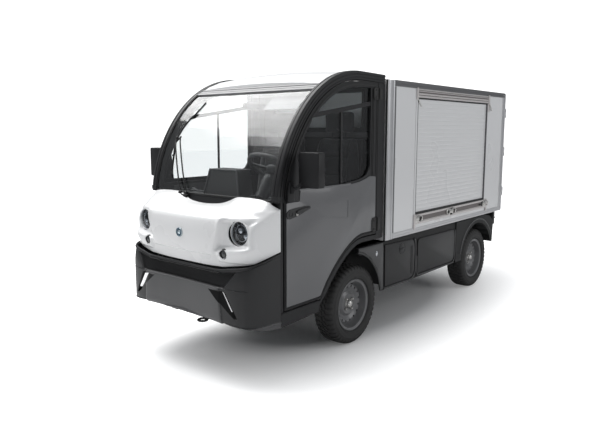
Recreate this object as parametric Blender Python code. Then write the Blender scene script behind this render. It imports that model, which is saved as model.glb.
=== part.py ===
"""Electric utility vehicle: a two-seat forward-control cab in front of an aluminium box body.

Metres, +Z up. The vehicle faces -Y and its left side is +X. The origin is on the ground, under
the middle of its length and width. Lengths along the vehicle are first measured from the front
axle, backwards positive, and y_at() places them.
"""

import math

import bmesh
import bpy
from mathutils import Matrix, Vector

# ---------------------------------------------------------------- driving dimensions
WHEELBASE = 2.03
TRACK = 0.975
REAR_OVERHANG = 0.485   # back of the box body behind the rear axle
NOSE = 1.100            # frame origin's allowance ahead of the front axle
DOOR_DEPTH = 0.055      # rear doors and hinges behind the box body
GAP = 0.0003            # between solids that touch
SHUT_LINE = 0.007       # between a door and what it closes against

TYRE_R = 0.2825
TYRE_W = 0.165
RIM_SEAT_R = 0.168
FLANGE_R = 0.184
HUB_BORE_R = 0.030
STUB_R = 0.0285
AXLE_BEND = 0.290       # depth of the leaf springs' hangers, fore and aft of the axle

CAB_HALF = 0.600        # outer face of the cab's side
ARCH_W = 0.052
ARCH_IN = CAB_HALF - ARCH_W
DOOR_T = 0.040
ARCH_T = 0.062          # depth of the arch section, seen from the side
CAB_REAR = 0.300        # back of the cab, behind the front axle
DOOR_REAR = 0.205
FOOT_Y = -0.850         # foot of the arch
FOOT_Z = 1.080
ROOF_Z = 1.910
LEG_BACK = -0.797       # back face of the leg below each arch
PANEL_END = -0.8235     # rear edges of bonnet and bumper
COWL_FRONT = -0.861
COWL_Z = 1.092
FLOOR_Z = 0.425
PLINTH_Z = 0.767
BELT_Z = 1.165

BOX_HALF = 0.610
BOX_FRONT = 0.320
BOX_REAR = WHEELBASE + REAR_OVERHANG
TAIL = BOX_REAR + DOOR_DEPTH
BOX_LOW = 0.705
BOX_TOP = 1.872
WALL_T = 0.030
POST_W = 0.090
LAMP_BAR_T = 0.0447
RAIL_H = 0.042
SHUTTER_FRONT = 0.765
SHUTTER_REAR = BOX_REAR - 0.423
SHUTTER_LOW = 0.800
SHUTTER_TOP = 1.800
REAR_DOOR_T = 0.028

FRAME_X = 0.210         # centre of each chassis rail
FRAME_W = 0.060
FRAME_LOW = 0.600
FRAME_OVER_AXLE = 0.490 # underside of the rails over the front axle
KINGPIN_X = TRACK / 2 - 0.1025
BATTERY_FRONT = 0.420
BATTERY_HALF = 0.520
BATTERY_LOW = 0.335
UNDER_BOX = BOX_LOW - 0.015
MUDGUARD_R = TYRE_R + 0.0675
MUDGUARD_T = 0.042
SKIRT_OUT = 0.580
SKIRT_T = 0.022
SKIRT_LOW = 0.320
STEER_X = 0.290
SEAT_X = 0.275


def y_at(behind_front_axle):
    """World Y of a length measured backwards from the front axle."""
    return behind_front_axle - (TAIL - NOSE) / 2


# ---------------------------------------------------------------- materials
def material(name, colour, roughness, metallic=0.0, alpha=1.0):
    made = bpy.data.materials.new(name)
    made.use_nodes = True
    shader = made.node_tree.nodes["Principled BSDF"]
    shader.inputs["Base Color"].default_value = (*colour, 1.0)
    shader.inputs["Roughness"].default_value = roughness
    shader.inputs["Metallic"].default_value = metallic
    shader.inputs["Alpha"].default_value = alpha
    return made


for old in list(bpy.data.objects):
    bpy.data.objects.remove(old)

WHITE = material("white_panel", (0.86, 0.86, 0.86), 0.25)
BLACK = material("black_moulding", (0.022, 0.022, 0.023), 0.5)
CHARCOAL = material("charcoal_plastic", (0.045, 0.045, 0.047), 0.55)
DOOR_GREY = material("door_grey", (0.13, 0.13, 0.135), 0.3)
RUBBER = material("tyre_rubber", (0.018, 0.018, 0.018), 0.8)
RIM_GREY = material("rim_grey", (0.10, 0.10, 0.105), 0.4, 0.3)
STEEL = material("chassis_black", (0.02, 0.02, 0.02), 0.55, 0.2)
ALUMINIUM = material("box_aluminium", (0.62, 0.62, 0.62), 0.35, 0.9)
BOX_PANEL = material("box_panel", (0.70, 0.70, 0.70), 0.45)
GLASS = material("tinted_glass", (0.10, 0.10, 0.105), 0.05, 0.0, 0.35)
CLEAR = material("windscreen_glass", (0.80, 0.84, 0.84), 0.03, 0.0, 0.2)
LENS = material("lamp_lens", (0.75, 0.77, 0.80), 0.08, 0.0)
SEAT_CLOTH = material("seat_cloth", (0.03, 0.03, 0.032), 0.85)


# ---------------------------------------------------------------- shape tools
def finish(name, mesh_builder, surface, smooth=None):
    """Turns a filled bmesh into a named object."""
    mesh = bpy.data.meshes.new(name)
    bmesh.ops.remove_doubles(mesh_builder, verts=mesh_builder.verts, dist=1e-6)
    bmesh.ops.recalc_face_normals(mesh_builder, faces=mesh_builder.faces)
    mesh_builder.to_mesh(mesh)
    mesh_builder.free()
    mesh.materials.append(surface)
    if smooth:
        mesh.shade_smooth()
        mesh.set_sharp_from_angle(angle=math.radians(smooth))
    made = bpy.data.objects.new(name, mesh)
    bpy.context.scene.collection.objects.link(made)
    return made


def add_prism(builder, outline, low, high, axis="X"):
    """Extrudes a closed outline along an axis. Outlines are (y, z) for X, (x, z) for Y, (x, y) for Z."""
    place = {
        "X": lambda a, b, d: (d, a, b),
        "Y": lambda a, b, d: (a, d, b),
        "Z": lambda a, b, d: (a, b, d),
    }[axis]
    low, high = min(low, high), max(low, high)
    rings = [[builder.verts.new(place(a, b, d)) for a, b in outline] for d in (low, high)]
    builder.faces.new(rings[0])
    builder.faces.new(rings[1])
    count = len(outline)
    for i in range(count):
        j = (i + 1) % count
        builder.faces.new((rings[0][i], rings[0][j], rings[1][j], rings[1][i]))


def prism(name, outline, low, high, surface, axis="X"):
    builder = bmesh.new()
    add_prism(builder, outline, low, high, axis)
    return finish(name, builder, surface)


def rectangle(a0, a1, b0, b1):
    return [(a0, b0), (a1, b0), (a1, b1), (a0, b1)]


def block(name, x0, x1, y0, y1, z0, z1, surface):
    return prism(name, rectangle(y0, y1, z0, z1), x0, x1, surface)


def lathe(name, profile, centre, surface, steps=32, smooth=35):
    """Turns a closed (radius, offset) profile about an axis along X through centre."""
    builder = bmesh.new()
    rings = []
    for i in range(steps):
        turn = 2 * math.pi * i / steps
        rings.append([
            builder.verts.new((
                centre[0] + offset,
                centre[1] + radius * math.cos(turn),
                centre[2] + radius * math.sin(turn),
            ))
            for radius, offset in profile
        ])
    count = len(profile)
    for i in range(steps):
        here, there = rings[i], rings[(i + 1) % steps]
        for j in range(count):
            k = (j + 1) % count
            builder.faces.new((here[j], here[k], there[k], there[j]))
    return finish(name, builder, surface, smooth)


def rod(name, start, end, radius, surface, steps=16):
    """A round bar between two points."""
    start, end = Vector(start), Vector(end)
    builder = bmesh.new()
    bmesh.ops.create_cone(
        builder, cap_ends=True, segments=steps, radius1=radius, radius2=radius,
        depth=(end - start).length,
    )
    turn = (end - start).to_track_quat("Z", "Y").to_matrix().to_4x4()
    bmesh.ops.transform(
        builder, verts=builder.verts, matrix=Matrix.Translation((start + end) / 2) @ turn
    )
    return finish(name, builder, surface, 35)


def helper(obj):
    """Hides a cutter or a piece that is joined into another."""
    obj.hide_render = True
    obj.display_type = "WIRE"
    return obj


def combine(target, tool, operation):
    modifier = target.modifiers.new(operation.lower(), "BOOLEAN")
    modifier.operation = operation
    modifier.solver = "EXACT"
    modifier.object = helper(tool)
    return target


def cut(target, *tools):
    for tool in tools:
        combine(target, tool, "DIFFERENCE")
    return target


def join(target, *tools):
    for tool in tools:
        combine(target, tool, "UNION")
    return target


def bezier(p0, p1, p2, p3, steps):
    points = []
    for i in range(steps + 1):
        t = i / steps
        a, b, c, d = (1 - t) ** 3, 3 * (1 - t) ** 2 * t, 3 * (1 - t) * t * t, t ** 3
        points.append(tuple(a * q0 + b * q1 + c * q2 + d * q3
                            for q0, q1, q2, q3 in zip(p0, p1, p2, p3)))
    return points


def inward(points, distance):
    """Offsets an open line to its right-hand side, looking along it."""
    moved = []
    for i, (a, b) in enumerate(points):
        before, after = points[max(i - 1, 0)], points[min(i + 1, len(points) - 1)]
        run, rise = after[0] - before[0], after[1] - before[1]
        size = math.hypot(run, rise)
        moved.append((a + distance * rise / size, b - distance * run / size))
    return moved


def in_world(points):
    """(behind the front axle, height) points as (world Y, height)."""
    return [(y_at(a), b) for a, b in points]


# ---------------------------------------------------------------- lines shared by the cab's pieces
def roof_line(offset=0.0, steps=14):
    """Side profile of the cab, from the foot of the windscreen up and back to the rear wall."""
    curve = bezier(
        (FOOT_Y, FOOT_Z), (FOOT_Y, FOOT_Z + 0.25), (-0.605, ROOF_Z), (0.0, ROOF_Z), steps
    )
    return inward(curve + [(CAB_REAR, ROOF_Z - 0.005)], offset)


def part_of(line, y_from, y_to):
    """The stretch of a line between two lengths, with its ends worked out exactly."""
    kept = []
    for (y0, z0), (y1, z1) in zip(line, line[1:]):
        for at in (y_from, y_to):
            if y0 < at < y1 and at == y_from:
                kept.append((at, z0 + (z1 - z0) * (at - y0) / (y1 - y0)))
        if y_from <= y1 <= y_to:
            kept.append((y1, z1))
        if y0 < y_to < y1:
            kept.append((y_to, z0 + (z1 - z0) * (y_to - y0) / (y1 - y0)))
    if line[0][0] >= y_from:
        kept.insert(0, line[0])
    return kept


def wheel_arch(offset=0.0, steps=8):
    """Lower edge of the door above the front wheel, from the sill up and back to the door's rear."""
    curve = bezier((-0.44, FLOOR_Z), (-0.36, 0.565), (-0.13, 0.775), (0.03, 0.775), steps)
    return inward(curve + [(DOOR_REAR + 0.02, 0.775)], offset)


# ---------------------------------------------------------------- wheels, axles and frame
def build_tyre(name, x, y):
    half = TYRE_W / 2
    wall = TYRE_R - FLANGE_R
    profile = [
        (RIM_SEAT_R, -0.060), (FLANGE_R + 0.003, -0.062), (FLANGE_R + 0.39 * wall, -half),
        (FLANGE_R + 0.73 * wall, -half + 0.002), (FLANGE_R + 0.91 * wall, -half + 0.014),
        (TYRE_R, -half + 0.034),
    ]
    profile += [(radius, -offset) for radius, offset in reversed(profile)]
    return lathe(name, profile, (x, y, TYRE_R), RUBBER)


def build_rim(name, x, y, side):
    seat = RIM_SEAT_R - GAP
    profile = [
        (FLANGE_R, 0.070), (FLANGE_R, 0.0635), (seat, 0.0625), (seat, -0.0625),
        (FLANGE_R, -0.0635), (FLANGE_R, -0.070), (0.160, -0.066), (0.148, 0.000),
        (0.105, 0.020), (HUB_BORE_R, 0.012), (HUB_BORE_R, 0.034), (0.100, 0.038),
        (0.140, 0.026), (0.164, 0.064),
    ]
    return lathe(name, [(radius, side * offset) for radius, offset in profile],
                 (x, y, TYRE_R), RIM_GREY)


def build_knuckle(name, side):
    """Upright with its kingpin, brake backplate and stub axle."""
    y, z = y_at(0.0), TYRE_R
    wheel_x = side * TRACK / 2
    upright = block(name, side * (KINGPIN_X - 0.026), side * (KINGPIN_X + 0.037),
                    y - 0.030, y + 0.030, z - 0.058, z + 0.058, STEEL)
    pin = rod(name + "_pin", (side * KINGPIN_X, y, z - 0.098), (side * KINGPIN_X, y, z + 0.098),
              0.012, STEEL)
    plate = rod(name + "_plate", (side * (KINGPIN_X + 0.036), y, z),
                (side * (KINGPIN_X + 0.046), y, z), 0.118, STEEL, 24)
    stub = rod(name + "_stub", (side * (KINGPIN_X + 0.020), y, z), (wheel_x + side * 0.040, y, z),
               STUB_R, STEEL)
    return join(upright, pin, plate, stub)


def build_frame():
    """Two kicked-up rails: low under the cab floor, over the axles, level under the box."""
    end = BOX_REAR - LAMP_BAR_T - GAP
    over_axle = FRAME_OVER_AXLE + 0.085
    low = [(-0.98, 0.335), (-0.40, 0.335), (-0.12, FRAME_OVER_AXLE), (0.34, FRAME_OVER_AXLE),
           (0.42, FRAME_LOW), (end, FRAME_LOW)]
    top = [(-0.98, FLOOR_Z - 0.031), (-0.415, FLOOR_Z - 0.031), (-0.16, over_axle),
           (0.30, over_axle), (0.36, BOX_LOW - GAP), (end, BOX_LOW - GAP)]
    outline = in_world(low + top[::-1])
    rails = [
        prism("frame_rail_" + label, outline, side * FRAME_X - FRAME_W / 2,
              side * FRAME_X + FRAME_W / 2, STEEL)
        for label, side in (("left", 1), ("right", -1))
    ]
    frame = rails[0]
    frame.name = "chassis_frame"
    crossmembers = []
    for number, (y, low_z, high_z) in enumerate((
        (-0.955, 0.338, 0.390), (-0.56, 0.338, 0.390), (0.10, 0.50, 0.565), (0.98, 0.61, 0.69),
        (1.66, 0.61, 0.69), (end - 0.035, 0.61, 0.69),
    )):
        crossmembers.append(block(f"crossmember_{number}", -FRAME_X, FRAME_X, y_at(y) - 0.025,
                                  y_at(y) + 0.025, low_z, high_z, STEEL))
    builder = bmesh.new()
    eye = Vector((0.150, y_at(-1.045), 0.352))
    ring, tube = 0.028, 0.0075
    rings = []
    for i in range(20):
        turn = 2 * math.pi * i / 20
        out = Vector((math.cos(turn), math.sin(turn), 0))
        rings.append([
            builder.verts.new(eye + out * (ring + tube * math.cos(2 * math.pi * j / 8))
                              + Vector((0, 0, tube * math.sin(2 * math.pi * j / 8))))
            for j in range(8)
        ])
    for i in range(20):
        for j in range(8):
            builder.faces.new((rings[i][j], rings[i][(j + 1) % 8],
                               rings[(i + 1) % 20][(j + 1) % 8], rings[(i + 1) % 20][j]))
    tow_ring = finish("tow_ring", builder, STEEL, 60)
    shank = rod("tow_shank", (eye.x, eye.y + 0.022, eye.z), (eye.x, y_at(-0.94), eye.z), 0.009, STEEL)
    return join(frame, rails[1], *crossmembers, shank, tow_ring)


def build_front_axle():
    """Beam with an eye at each end for the kingpin, and a spring seat under each rail."""
    y, z = y_at(0.0), TYRE_R
    beam = block("front_axle", -KINGPIN_X + 0.045, KINGPIN_X - 0.045, y - 0.032, y + 0.032,
                 z - 0.028, z + 0.028, STEEL)
    tools, holes = [], []
    for side in (-1, 1):
        for up in (-1, 1):
            middle = z + up * 0.076
            tools.append(block("axle_eye", side * (KINGPIN_X - 0.075), side * (KINGPIN_X + 0.020),
                               y - 0.020, y + 0.020, middle - 0.012, middle + 0.012, STEEL))
        tools.append(block("axle_yoke", side * (KINGPIN_X - 0.080), side * (KINGPIN_X - 0.045),
                           y - 0.026, y + 0.026, z - 0.088, z + 0.088, STEEL))
        tools.append(rod("spring_tower", (side * FRAME_X, y, z), (side * FRAME_X, y, FRAME_OVER_AXLE - GAP),
                         0.028, STEEL, 12))
        holes.append(rod("kingpin_hole", (side * KINGPIN_X, y, z - 0.15),
                         (side * KINGPIN_X, y, z + 0.15), 0.0135, STEEL))
    join(beam, *tools)
    return cut(beam, *holes)


def build_rear_axle():
    """Axle tube with the drive motor in its middle, brake backplates, stubs and leaf springs."""
    y, z = y_at(WHEELBASE), TYRE_R
    tube = rod("rear_axle", (-TRACK / 2 + 0.055, y, z), (TRACK / 2 - 0.055, y, z), 0.038, STEEL, 20)
    motor = block("drive_motor", -0.150, 0.120, y - 0.130, y + 0.120, z - 0.100, z + 0.120, STEEL)
    tools = [motor]
    for side in (-1, 1):
        inner = side * (TRACK / 2 - 0.067)
        tools.append(rod("rear_plate", (inner, y, z), (inner + side * 0.012, y, z), 0.118, STEEL, 24))
        tools.append(rod("rear_stub", (side * 0.40, y, z), (side * (TRACK / 2 + 0.040), y, z),
                         STUB_R, STEEL))
        x = side * 0.275
        reach = AXLE_BEND + 0.015
        leaf = [(y - reach, z + 0.165), (y, z + 0.030), (y + reach, z + 0.165),
                (y + reach, z + 0.185), (y, z + 0.060), (y - reach, z + 0.185)]
        tools.append(prism("leaf_spring", leaf, x - 0.025, x + 0.025, STEEL))
        for end in (-AXLE_BEND, AXLE_BEND):
            tools.append(block("spring_hanger", side * FRAME_X, side * (FRAME_X + 0.085),
                               y + end - 0.018, y + end + 0.018, z + 0.150, FRAME_LOW - GAP,
                               STEEL))
    return join(tube, *tools)


# ---------------------------------------------------------------- cab
def build_cab_floor():
    """Moulded floor: footwell, the housing over the front wheels, the seat plinth and the sills."""
    top = [(LEG_BACK - 0.020, FLOOR_Z), (-0.455, FLOOR_Z)] + wheel_arch(SHUT_LINE + 0.002)
    top = [point for point in top if point[0] < CAB_REAR - 0.09]
    top += [(CAB_REAR - 0.09, PLINTH_Z - 0.001), (CAB_REAR - 0.002, PLINTH_Z - 0.001)]
    low = [(LEG_BACK - 0.020, FLOOR_Z - 0.030), (-0.440, FLOOR_Z - 0.030)]
    low += [point for point in wheel_arch(0.040) if point[1] > FLOOR_Z - 0.02]
    low = [point for point in low if point[0] < CAB_REAR - 0.09]
    low += [(CAB_REAR - 0.09, PLINTH_Z - 0.033), (CAB_REAR - 0.002, PLINTH_Z - 0.033)]
    floor = prism("cab_floor", in_world(top + low[::-1]), -CAB_HALF + 0.004, CAB_HALF - 0.004,
                  CHARCOAL)
    half = ARCH_IN - 0.018
    plinth = block("seat_plinth", -half, half, y_at(-0.180), y_at(0.245), PLINTH_Z - 0.02,
                   PLINTH_Z + 0.075, CHARCOAL)
    sills = []
    for side in (-1, 1):
        sills.append(prism("sill", in_world([
            (LEG_BACK - 0.020, 0.338), (-0.452, 0.352), (-0.440, FLOOR_Z - 0.004),
            (LEG_BACK - 0.020, FLOOR_Z - 0.004)]),
            side * (CAB_HALF - 0.045), side * (CAB_HALF - 0.001), CHARCOAL))
    return join(floor, plinth, *sills)


def build_front_bulkhead():
    """Panel in front of the footwell, with the cowl that carries the foot of the windscreen."""
    back, front = -0.8012, -0.815
    outline = [(COWL_FRONT, COWL_Z - 0.077), (COWL_FRONT, COWL_Z - 0.056),
               (COWL_FRONT + 0.020, COWL_Z), (back, COWL_Z), (back, FLOOR_Z + GAP),
               (front, FLOOR_Z + GAP), (front, COWL_Z - 0.077)]
    return prism("front_bulkhead", in_world(outline), -ARCH_IN + 0.001, ARCH_IN - 0.001, BLACK)


def build_rear_wall():
    """Rear bulkhead with both door pillars and a window."""
    front, back = y_at(CAB_REAR - 0.036), y_at(CAB_REAR)
    wall = block("cab_rear_wall", -CAB_HALF + 0.002, CAB_HALF - 0.002, front, back,
                 PLINTH_Z + GAP, ROOF_Z - ARCH_T - 0.008, BLACK)
    pillars = [
        block("door_pillar", side * (CAB_HALF - 0.050), side * (CAB_HALF - 0.002),
              y_at(DOOR_REAR + 0.008), back, PLINTH_Z + GAP, ROOF_Z - ARCH_T - 0.008, BLACK)
        for side in (-1, 1)
    ]
    window = block("rear_window_cut", -0.440, 0.440, front - 0.05, back + 0.05, 1.530, 1.790, BLACK)
    join(wall, *pillars)
    return cut(wall, window)


def build_arch(name, side):
    """Moulded arch over the door, from the sill up beside the windscreen and back over the roof."""
    outer, inner = roof_line(), roof_line(ARCH_T)
    leg_low = FLOOR_Z + GAP
    outline = [(LEG_BACK, leg_low)] + [(LEG_BACK, FOOT_Z + 0.02)]
    outline += [point for point in inner if point[1] > FOOT_Z + 0.03]
    outline += [point for point in outer[::-1] if point[1] > FOOT_Z + 0.03]
    outline += [(FOOT_Y, FOOT_Z + 0.020), (PANEL_END + 0.004, FOOT_Z - 0.010),
                (PANEL_END + 0.004, leg_low)]
    return prism(name, in_world(outline), side * ARCH_IN, side * CAB_HALF, BLACK)


def roof_crown(x):
    return 0.022 * (1 - (x / ARCH_IN) ** 2)


def build_crowned_sheet(name, outer, inner, half_width, surface, columns=8):
    """A strip of roof between two side profiles, crowned from side to side."""
    builder = bmesh.new()
    outline = in_world(outer + inner[::-1])
    rings = []
    for i in range(columns + 1):
        x = -half_width + 2 * half_width * i / columns
        rings.append([builder.verts.new((x, y, z + roof_crown(x))) for y, z in outline])
    builder.faces.new(rings[0])
    builder.faces.new(rings[-1])
    count = len(outline)
    for here, there in zip(rings, rings[1:]):
        for i in range(count):
            j = (i + 1) % count
            builder.faces.new((here[i], here[j], there[j], there[i]))
    return finish(name, builder, surface, 30)


def build_roof():
    outer, inner = roof_line(0.006), roof_line(0.040)
    return build_crowned_sheet("cab_roof", part_of(outer, -0.385, CAB_REAR),
                               part_of(inner, -0.385, CAB_REAR), ARCH_IN - 0.001, WHITE)


def build_header():
    outer, inner = roof_line(0.008, 28), roof_line(0.036, 28)
    return build_crowned_sheet("windscreen_header", part_of(outer, -0.455, -0.386),
                               part_of(inner, -0.455, -0.386), ARCH_IN - 0.001, ALUMINIUM)


def build_windscreen():
    outer, inner = roof_line(0.012, 20), roof_line(0.018, 20)
    top = -0.456
    low = COWL_Z + GAP
    outline = [(outer[0][0], low)]
    outline += [point for point in part_of(outer, -1.0, top) if point[1] > low]
    outline += [point for point in part_of(inner, -1.0, top)[::-1] if point[1] > low]
    outline += [(inner[0][0], low)]
    return prism("windscreen", in_world(outline), -ARCH_IN + 0.001, ARCH_IN - 0.001, CLEAR)


def lofted_shell(name, rows, thickness, surface):
    """A mirrored shell through rows of half-width points, centre first, walls added inwards."""
    builder = bmesh.new()
    grid = []
    for row in rows:
        full = [(-x, y, z) for x, y, z in reversed(row[1:])] + list(row)
        grid.append([builder.verts.new((x, y_at(y), z)) for x, y, z in full])
    for low, high in zip(grid, grid[1:]):
        for i in range(len(low) - 1):
            builder.faces.new((low[i], low[i + 1], high[i + 1], high[i]))
    made = finish(name, builder, surface, 30)
    facing = sum((face.normal.y * face.area for face in made.data.polygons), 0.0)
    wall = made.modifiers.new("wall", "SOLIDIFY")
    wall.thickness = thickness
    wall.offset = -1.0 if facing < 0 else 1.0
    wall.use_even_offset = True
    wall.use_quality_normals = True
    return made


def build_bonnet():
    """White nose panel: front face, corners and top, open behind."""
    xs = (0.0, 0.20, 0.33, 0.43, 0.50, 0.545, 0.575, 0.599)
    rows = [
        list(zip(xs, (-1.064, -1.060, -1.052, -1.038, -1.018, -0.985, -0.905, PANEL_END),
                 (0.711, 0.711, 0.716, 0.730, 0.741, 0.752, 0.777, 0.804))),
        list(zip(xs, (-1.080, -1.076, -1.066, -1.048, -1.028, -0.992, -0.908, PANEL_END),
                 (0.80, 0.80, 0.80, 0.80, 0.81, 0.82, 0.83, 0.85))),
        list(zip(xs, (-1.087, -1.083, -1.070, -1.050, -1.028, -0.990, -0.908, PANEL_END),
                 (0.90, 0.90, 0.90, 0.90, 0.90, 0.90, 0.915, 0.93))),
        list(zip(xs, (-1.060, -1.058, -1.050, -1.035, -1.012, -0.975, -0.900, PANEL_END),
                 (1.00, 1.00, 1.00, 1.00, 0.995, 0.99, 1.02, 1.052))),
        list(zip((0.0, 0.16, 0.26, 0.34, 0.44, 0.52, 0.565, 0.588),
                 (-0.980, -0.978, -0.972, -0.965, -0.950, -0.935, -0.880, PANEL_END - 0.002),
                 (1.034, 1.036, 1.046, 1.062, 1.062, 1.050, 1.050, 1.056))),
        list(zip((0.0, 0.13, 0.205, 0.27, 0.36, 0.46, 0.525, 0.545),
                 (-0.878, -0.869, -0.859, -0.849, -0.849, -0.853, -0.858, -0.858),
                 (1.052, 1.060, 1.080, 1.106, 1.110, 1.107, 1.099, 1.090))),
    ]
    bonnet = lofted_shell("bonnet", rows, 0.008, WHITE)
    cutters = []
    for side in (-1, 1):
        cutters.append(rod("headlight_hole", (side * HEADLIGHT_X, y_at(-1.15), HEADLIGHT_Z),
                           (side * HEADLIGHT_X, y_at(-0.90), HEADLIGHT_Z), HEADLIGHT_R + 0.004,
                           WHITE, 24))
    return cut(bonnet, *cutters)


HEADLIGHT_X, HEADLIGHT_Z, HEADLIGHT_R = 0.448, 0.921, 0.072


def build_headlight(name, side):
    """Round lamp set back in the bonnet."""
    return rod(name, (side * HEADLIGHT_X, y_at(-1.008), HEADLIGHT_Z),
               (side * HEADLIGHT_X, y_at(-0.935), HEADLIGHT_Z), HEADLIGHT_R, LENS, 24)


def build_bumper():
    """Charcoal bumper and lower nose, open behind, wrapping round to the door legs."""
    xs = (0.0, 0.20, 0.33, 0.42, 0.50, 0.555, 0.585, 0.599)
    lower = (-1.076, -1.082, -1.088, -1.085, -1.067, -1.030, -0.930, PANEL_END)
    main = (-1.084, -1.090, -1.096, -1.092, -1.073, -1.035, -0.935, PANEL_END)
    rows = [
        list(zip(xs, lower, (0.388, 0.392, 0.390, 0.382, 0.376, 0.368, 0.350, 0.340))),
        list(zip(xs, main, (0.480, 0.480, 0.480, 0.480, 0.480, 0.480, 0.480, 0.480))),
        list(zip(xs, main, (0.602, 0.602, 0.602, 0.602, 0.602, 0.602, 0.602, 0.602))),
        list(zip(xs, (-1.058, -1.064, -1.072, -1.075, -1.064, -1.032, -0.935, PANEL_END),
                 (0.625, 0.625, 0.625, 0.630, 0.635, 0.640, 0.650, 0.660))),
        list(zip(xs, (-1.050, -1.054, -1.058, -1.052, -1.040, -1.005, -0.925, PANEL_END),
                 (0.686, 0.686, 0.691, 0.705, 0.717, 0.728, 0.753, 0.784))),
    ]
    return lofted_shell("bumper", rows, 0.012, CHARCOAL)


def door_outline():
    top = roof_line(ARCH_T + SHUT_LINE)
    top = [point for point in top if point[0] < DOOR_REAR - 0.01 and point[1] > FOOT_Z + 0.03]
    outline = [(LEG_BACK + SHUT_LINE, FLOOR_Z + 0.010), (LEG_BACK + SHUT_LINE, FOOT_Z + 0.02)]
    outline += top
    outline += [(DOOR_REAR, ROOF_Z - ARCH_T - SHUT_LINE - 0.003)]
    lower = [point for point in wheel_arch(-0.001) if point[0] < DOOR_REAR]
    outline += [(DOOR_REAR, lower[-1][1])] + lower[::-1]
    outline += [(-0.450, FLOOR_Z + 0.010)]
    return outline


WINDOW_BAR_FRONT, WINDOW_BAR_REAR, WINDOW_BAR_H = 1.585, 1.695, 0.028


def bar_height(y):
    """Underside of the bar that splits the door's window, which rises towards the rear."""
    share = (y - (LEG_BACK + 0.25)) / (DOOR_REAR - LEG_BACK - 0.25)
    return WINDOW_BAR_FRONT + (WINDOW_BAR_REAR - WINDOW_BAR_FRONT) * share


def window_outlines(grow=0.0):
    """Lower and upper window openings of a door."""
    edge = roof_line(ARCH_T + SHUT_LINE + 0.038 - grow, 24)
    rear, front = DOOR_REAR - 0.085 + grow, LEG_BACK + 0.050 - grow
    belt = BELT_Z - grow
    side = [point for point in edge if point[1] > belt + 0.02 and point[0] < rear]
    lower = [(front, belt)] + [point for point in side if point[1] < bar_height(point[0])]
    last = lower[-1]
    lower += [(last[0] + 0.010, bar_height(last[0] + 0.010)), (rear, bar_height(rear)), (rear, belt)]
    upper = [point for point in side if point[1] > bar_height(point[0]) + WINDOW_BAR_H]
    first = upper[0]
    upper = [(first[0] - 0.006, bar_height(first[0]) + WINDOW_BAR_H)] + upper
    upper += [(rear, upper[-1][1]), (rear, bar_height(rear) + WINDOW_BAR_H)]
    return lower, upper


def build_door(name, side):
    outer = side * CAB_HALF
    door = prism(name, in_world(door_outline()), outer - side * DOOR_T, outer, DOOR_GREY)
    lower, upper = window_outlines()
    cutters = [prism(name + "_cut", in_world(shape), side * 0.50, side * 0.70, DOOR_GREY)
               for shape in (lower, upper)]
    edge = roof_line(ARCH_T + SHUT_LINE + 0.012, 24)
    rear, front = DOOR_REAR - 0.060, LEG_BACK + 0.025
    seat = [(front, BELT_Z - 0.025)]
    seat += [point for point in edge if point[1] > BELT_Z and front < point[0] < rear]
    seat += [(rear, seat[-1][1]), (rear, BELT_Z - 0.025)]
    recess = prism(name + "_recess", in_world(seat), side * 0.50, outer - side * 0.012, DOOR_GREY)
    return cut(door, *cutters, recess)


def build_door_glass(name, side):
    """One pane behind the door's window frame and bar."""
    edge = roof_line(ARCH_T + SHUT_LINE + 0.018, 24)
    rear, front = DOOR_REAR - 0.066, LEG_BACK + 0.031
    shape = [(front, BELT_Z - 0.019)]
    shape += [point for point in edge if point[1] > BELT_Z and front < point[0] < rear]
    shape += [(rear, shape[-1][1]), (rear, BELT_Z - 0.019)]
    outer = side * (CAB_HALF - 0.012 - GAP)
    return prism(name, in_world(shape), outer - side * 0.005, outer, GLASS)


def build_mirror(name, side):
    """Mirror head on an arm from the front corner of the door's window."""
    x0, x1 = side * 0.645, side * 0.795
    head = [(x0, y_at(-0.712)), (x1, y_at(-0.674)), (x1 - side * 0.008, y_at(-0.642)),
            (x0 - side * 0.008, y_at(-0.680))]
    mirror = prism(name, head, 1.178, 1.388, BLACK, "Z")
    plate = block(name + "_plate", side * (CAB_HALF + GAP), side * (CAB_HALF + 0.020),
                  y_at(-0.780), y_at(-0.715), 1.085, 1.215, BLACK)
    arm = rod(name + "_arm", (side * (CAB_HALF + 0.012), y_at(-0.745), 1.195),
              (side * 0.690, y_at(-0.690), 1.215), 0.012, BLACK, 12)
    return join(mirror, plate, arm)


def build_dashboard():
    """Full-width dash, the display hood in its middle and the steering column."""
    outline = [(-0.800, 0.900), (-0.640, 0.900), (-0.560, 0.970), (-0.560, 1.040), (-0.640, 1.086),
               (-0.790, 1.062), (-0.800, 1.050)]
    half = ARCH_IN - 0.012
    dash = prism("dashboard", in_world(outline), -half, half, BLACK)
    hood_rear, hood_front = y_at(-0.600), y_at(-0.745)
    builder = bmesh.new()
    rings = [
        [(-0.175, hood_front), (0.165, hood_front), (0.165, hood_rear), (-0.175, hood_rear)],
        [(-0.125, hood_front + 0.030), (0.125, hood_front + 0.030), (0.125, hood_rear + 0.010),
         (-0.125, hood_rear + 0.010)],
    ]
    low = [builder.verts.new((x, y, 1.045)) for x, y in rings[0]]
    high = [builder.verts.new((x, y, 1.255)) for x, y in rings[1]]
    builder.faces.new(low)
    builder.faces.new(high)
    for i in range(4):
        builder.faces.new((low[i], low[(i + 1) % 4], high[(i + 1) % 4], high[i]))
    hood = finish("display_hood", builder, BLACK)
    foot = STEER_CENTRE - STEER_AXIS * 0.235
    column = rod("steering_column", foot, STEER_CENTRE - STEER_AXIS * 0.052, 0.034, BLACK, 16)
    return join(dash, hood, column)


STEER_TILT = math.radians(35)
STEER_AXIS = Vector((0, math.sin(STEER_TILT), math.cos(STEER_TILT)))
STEER_CENTRE = Vector((STEER_X, y_at(-0.535), 1.262))


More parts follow.
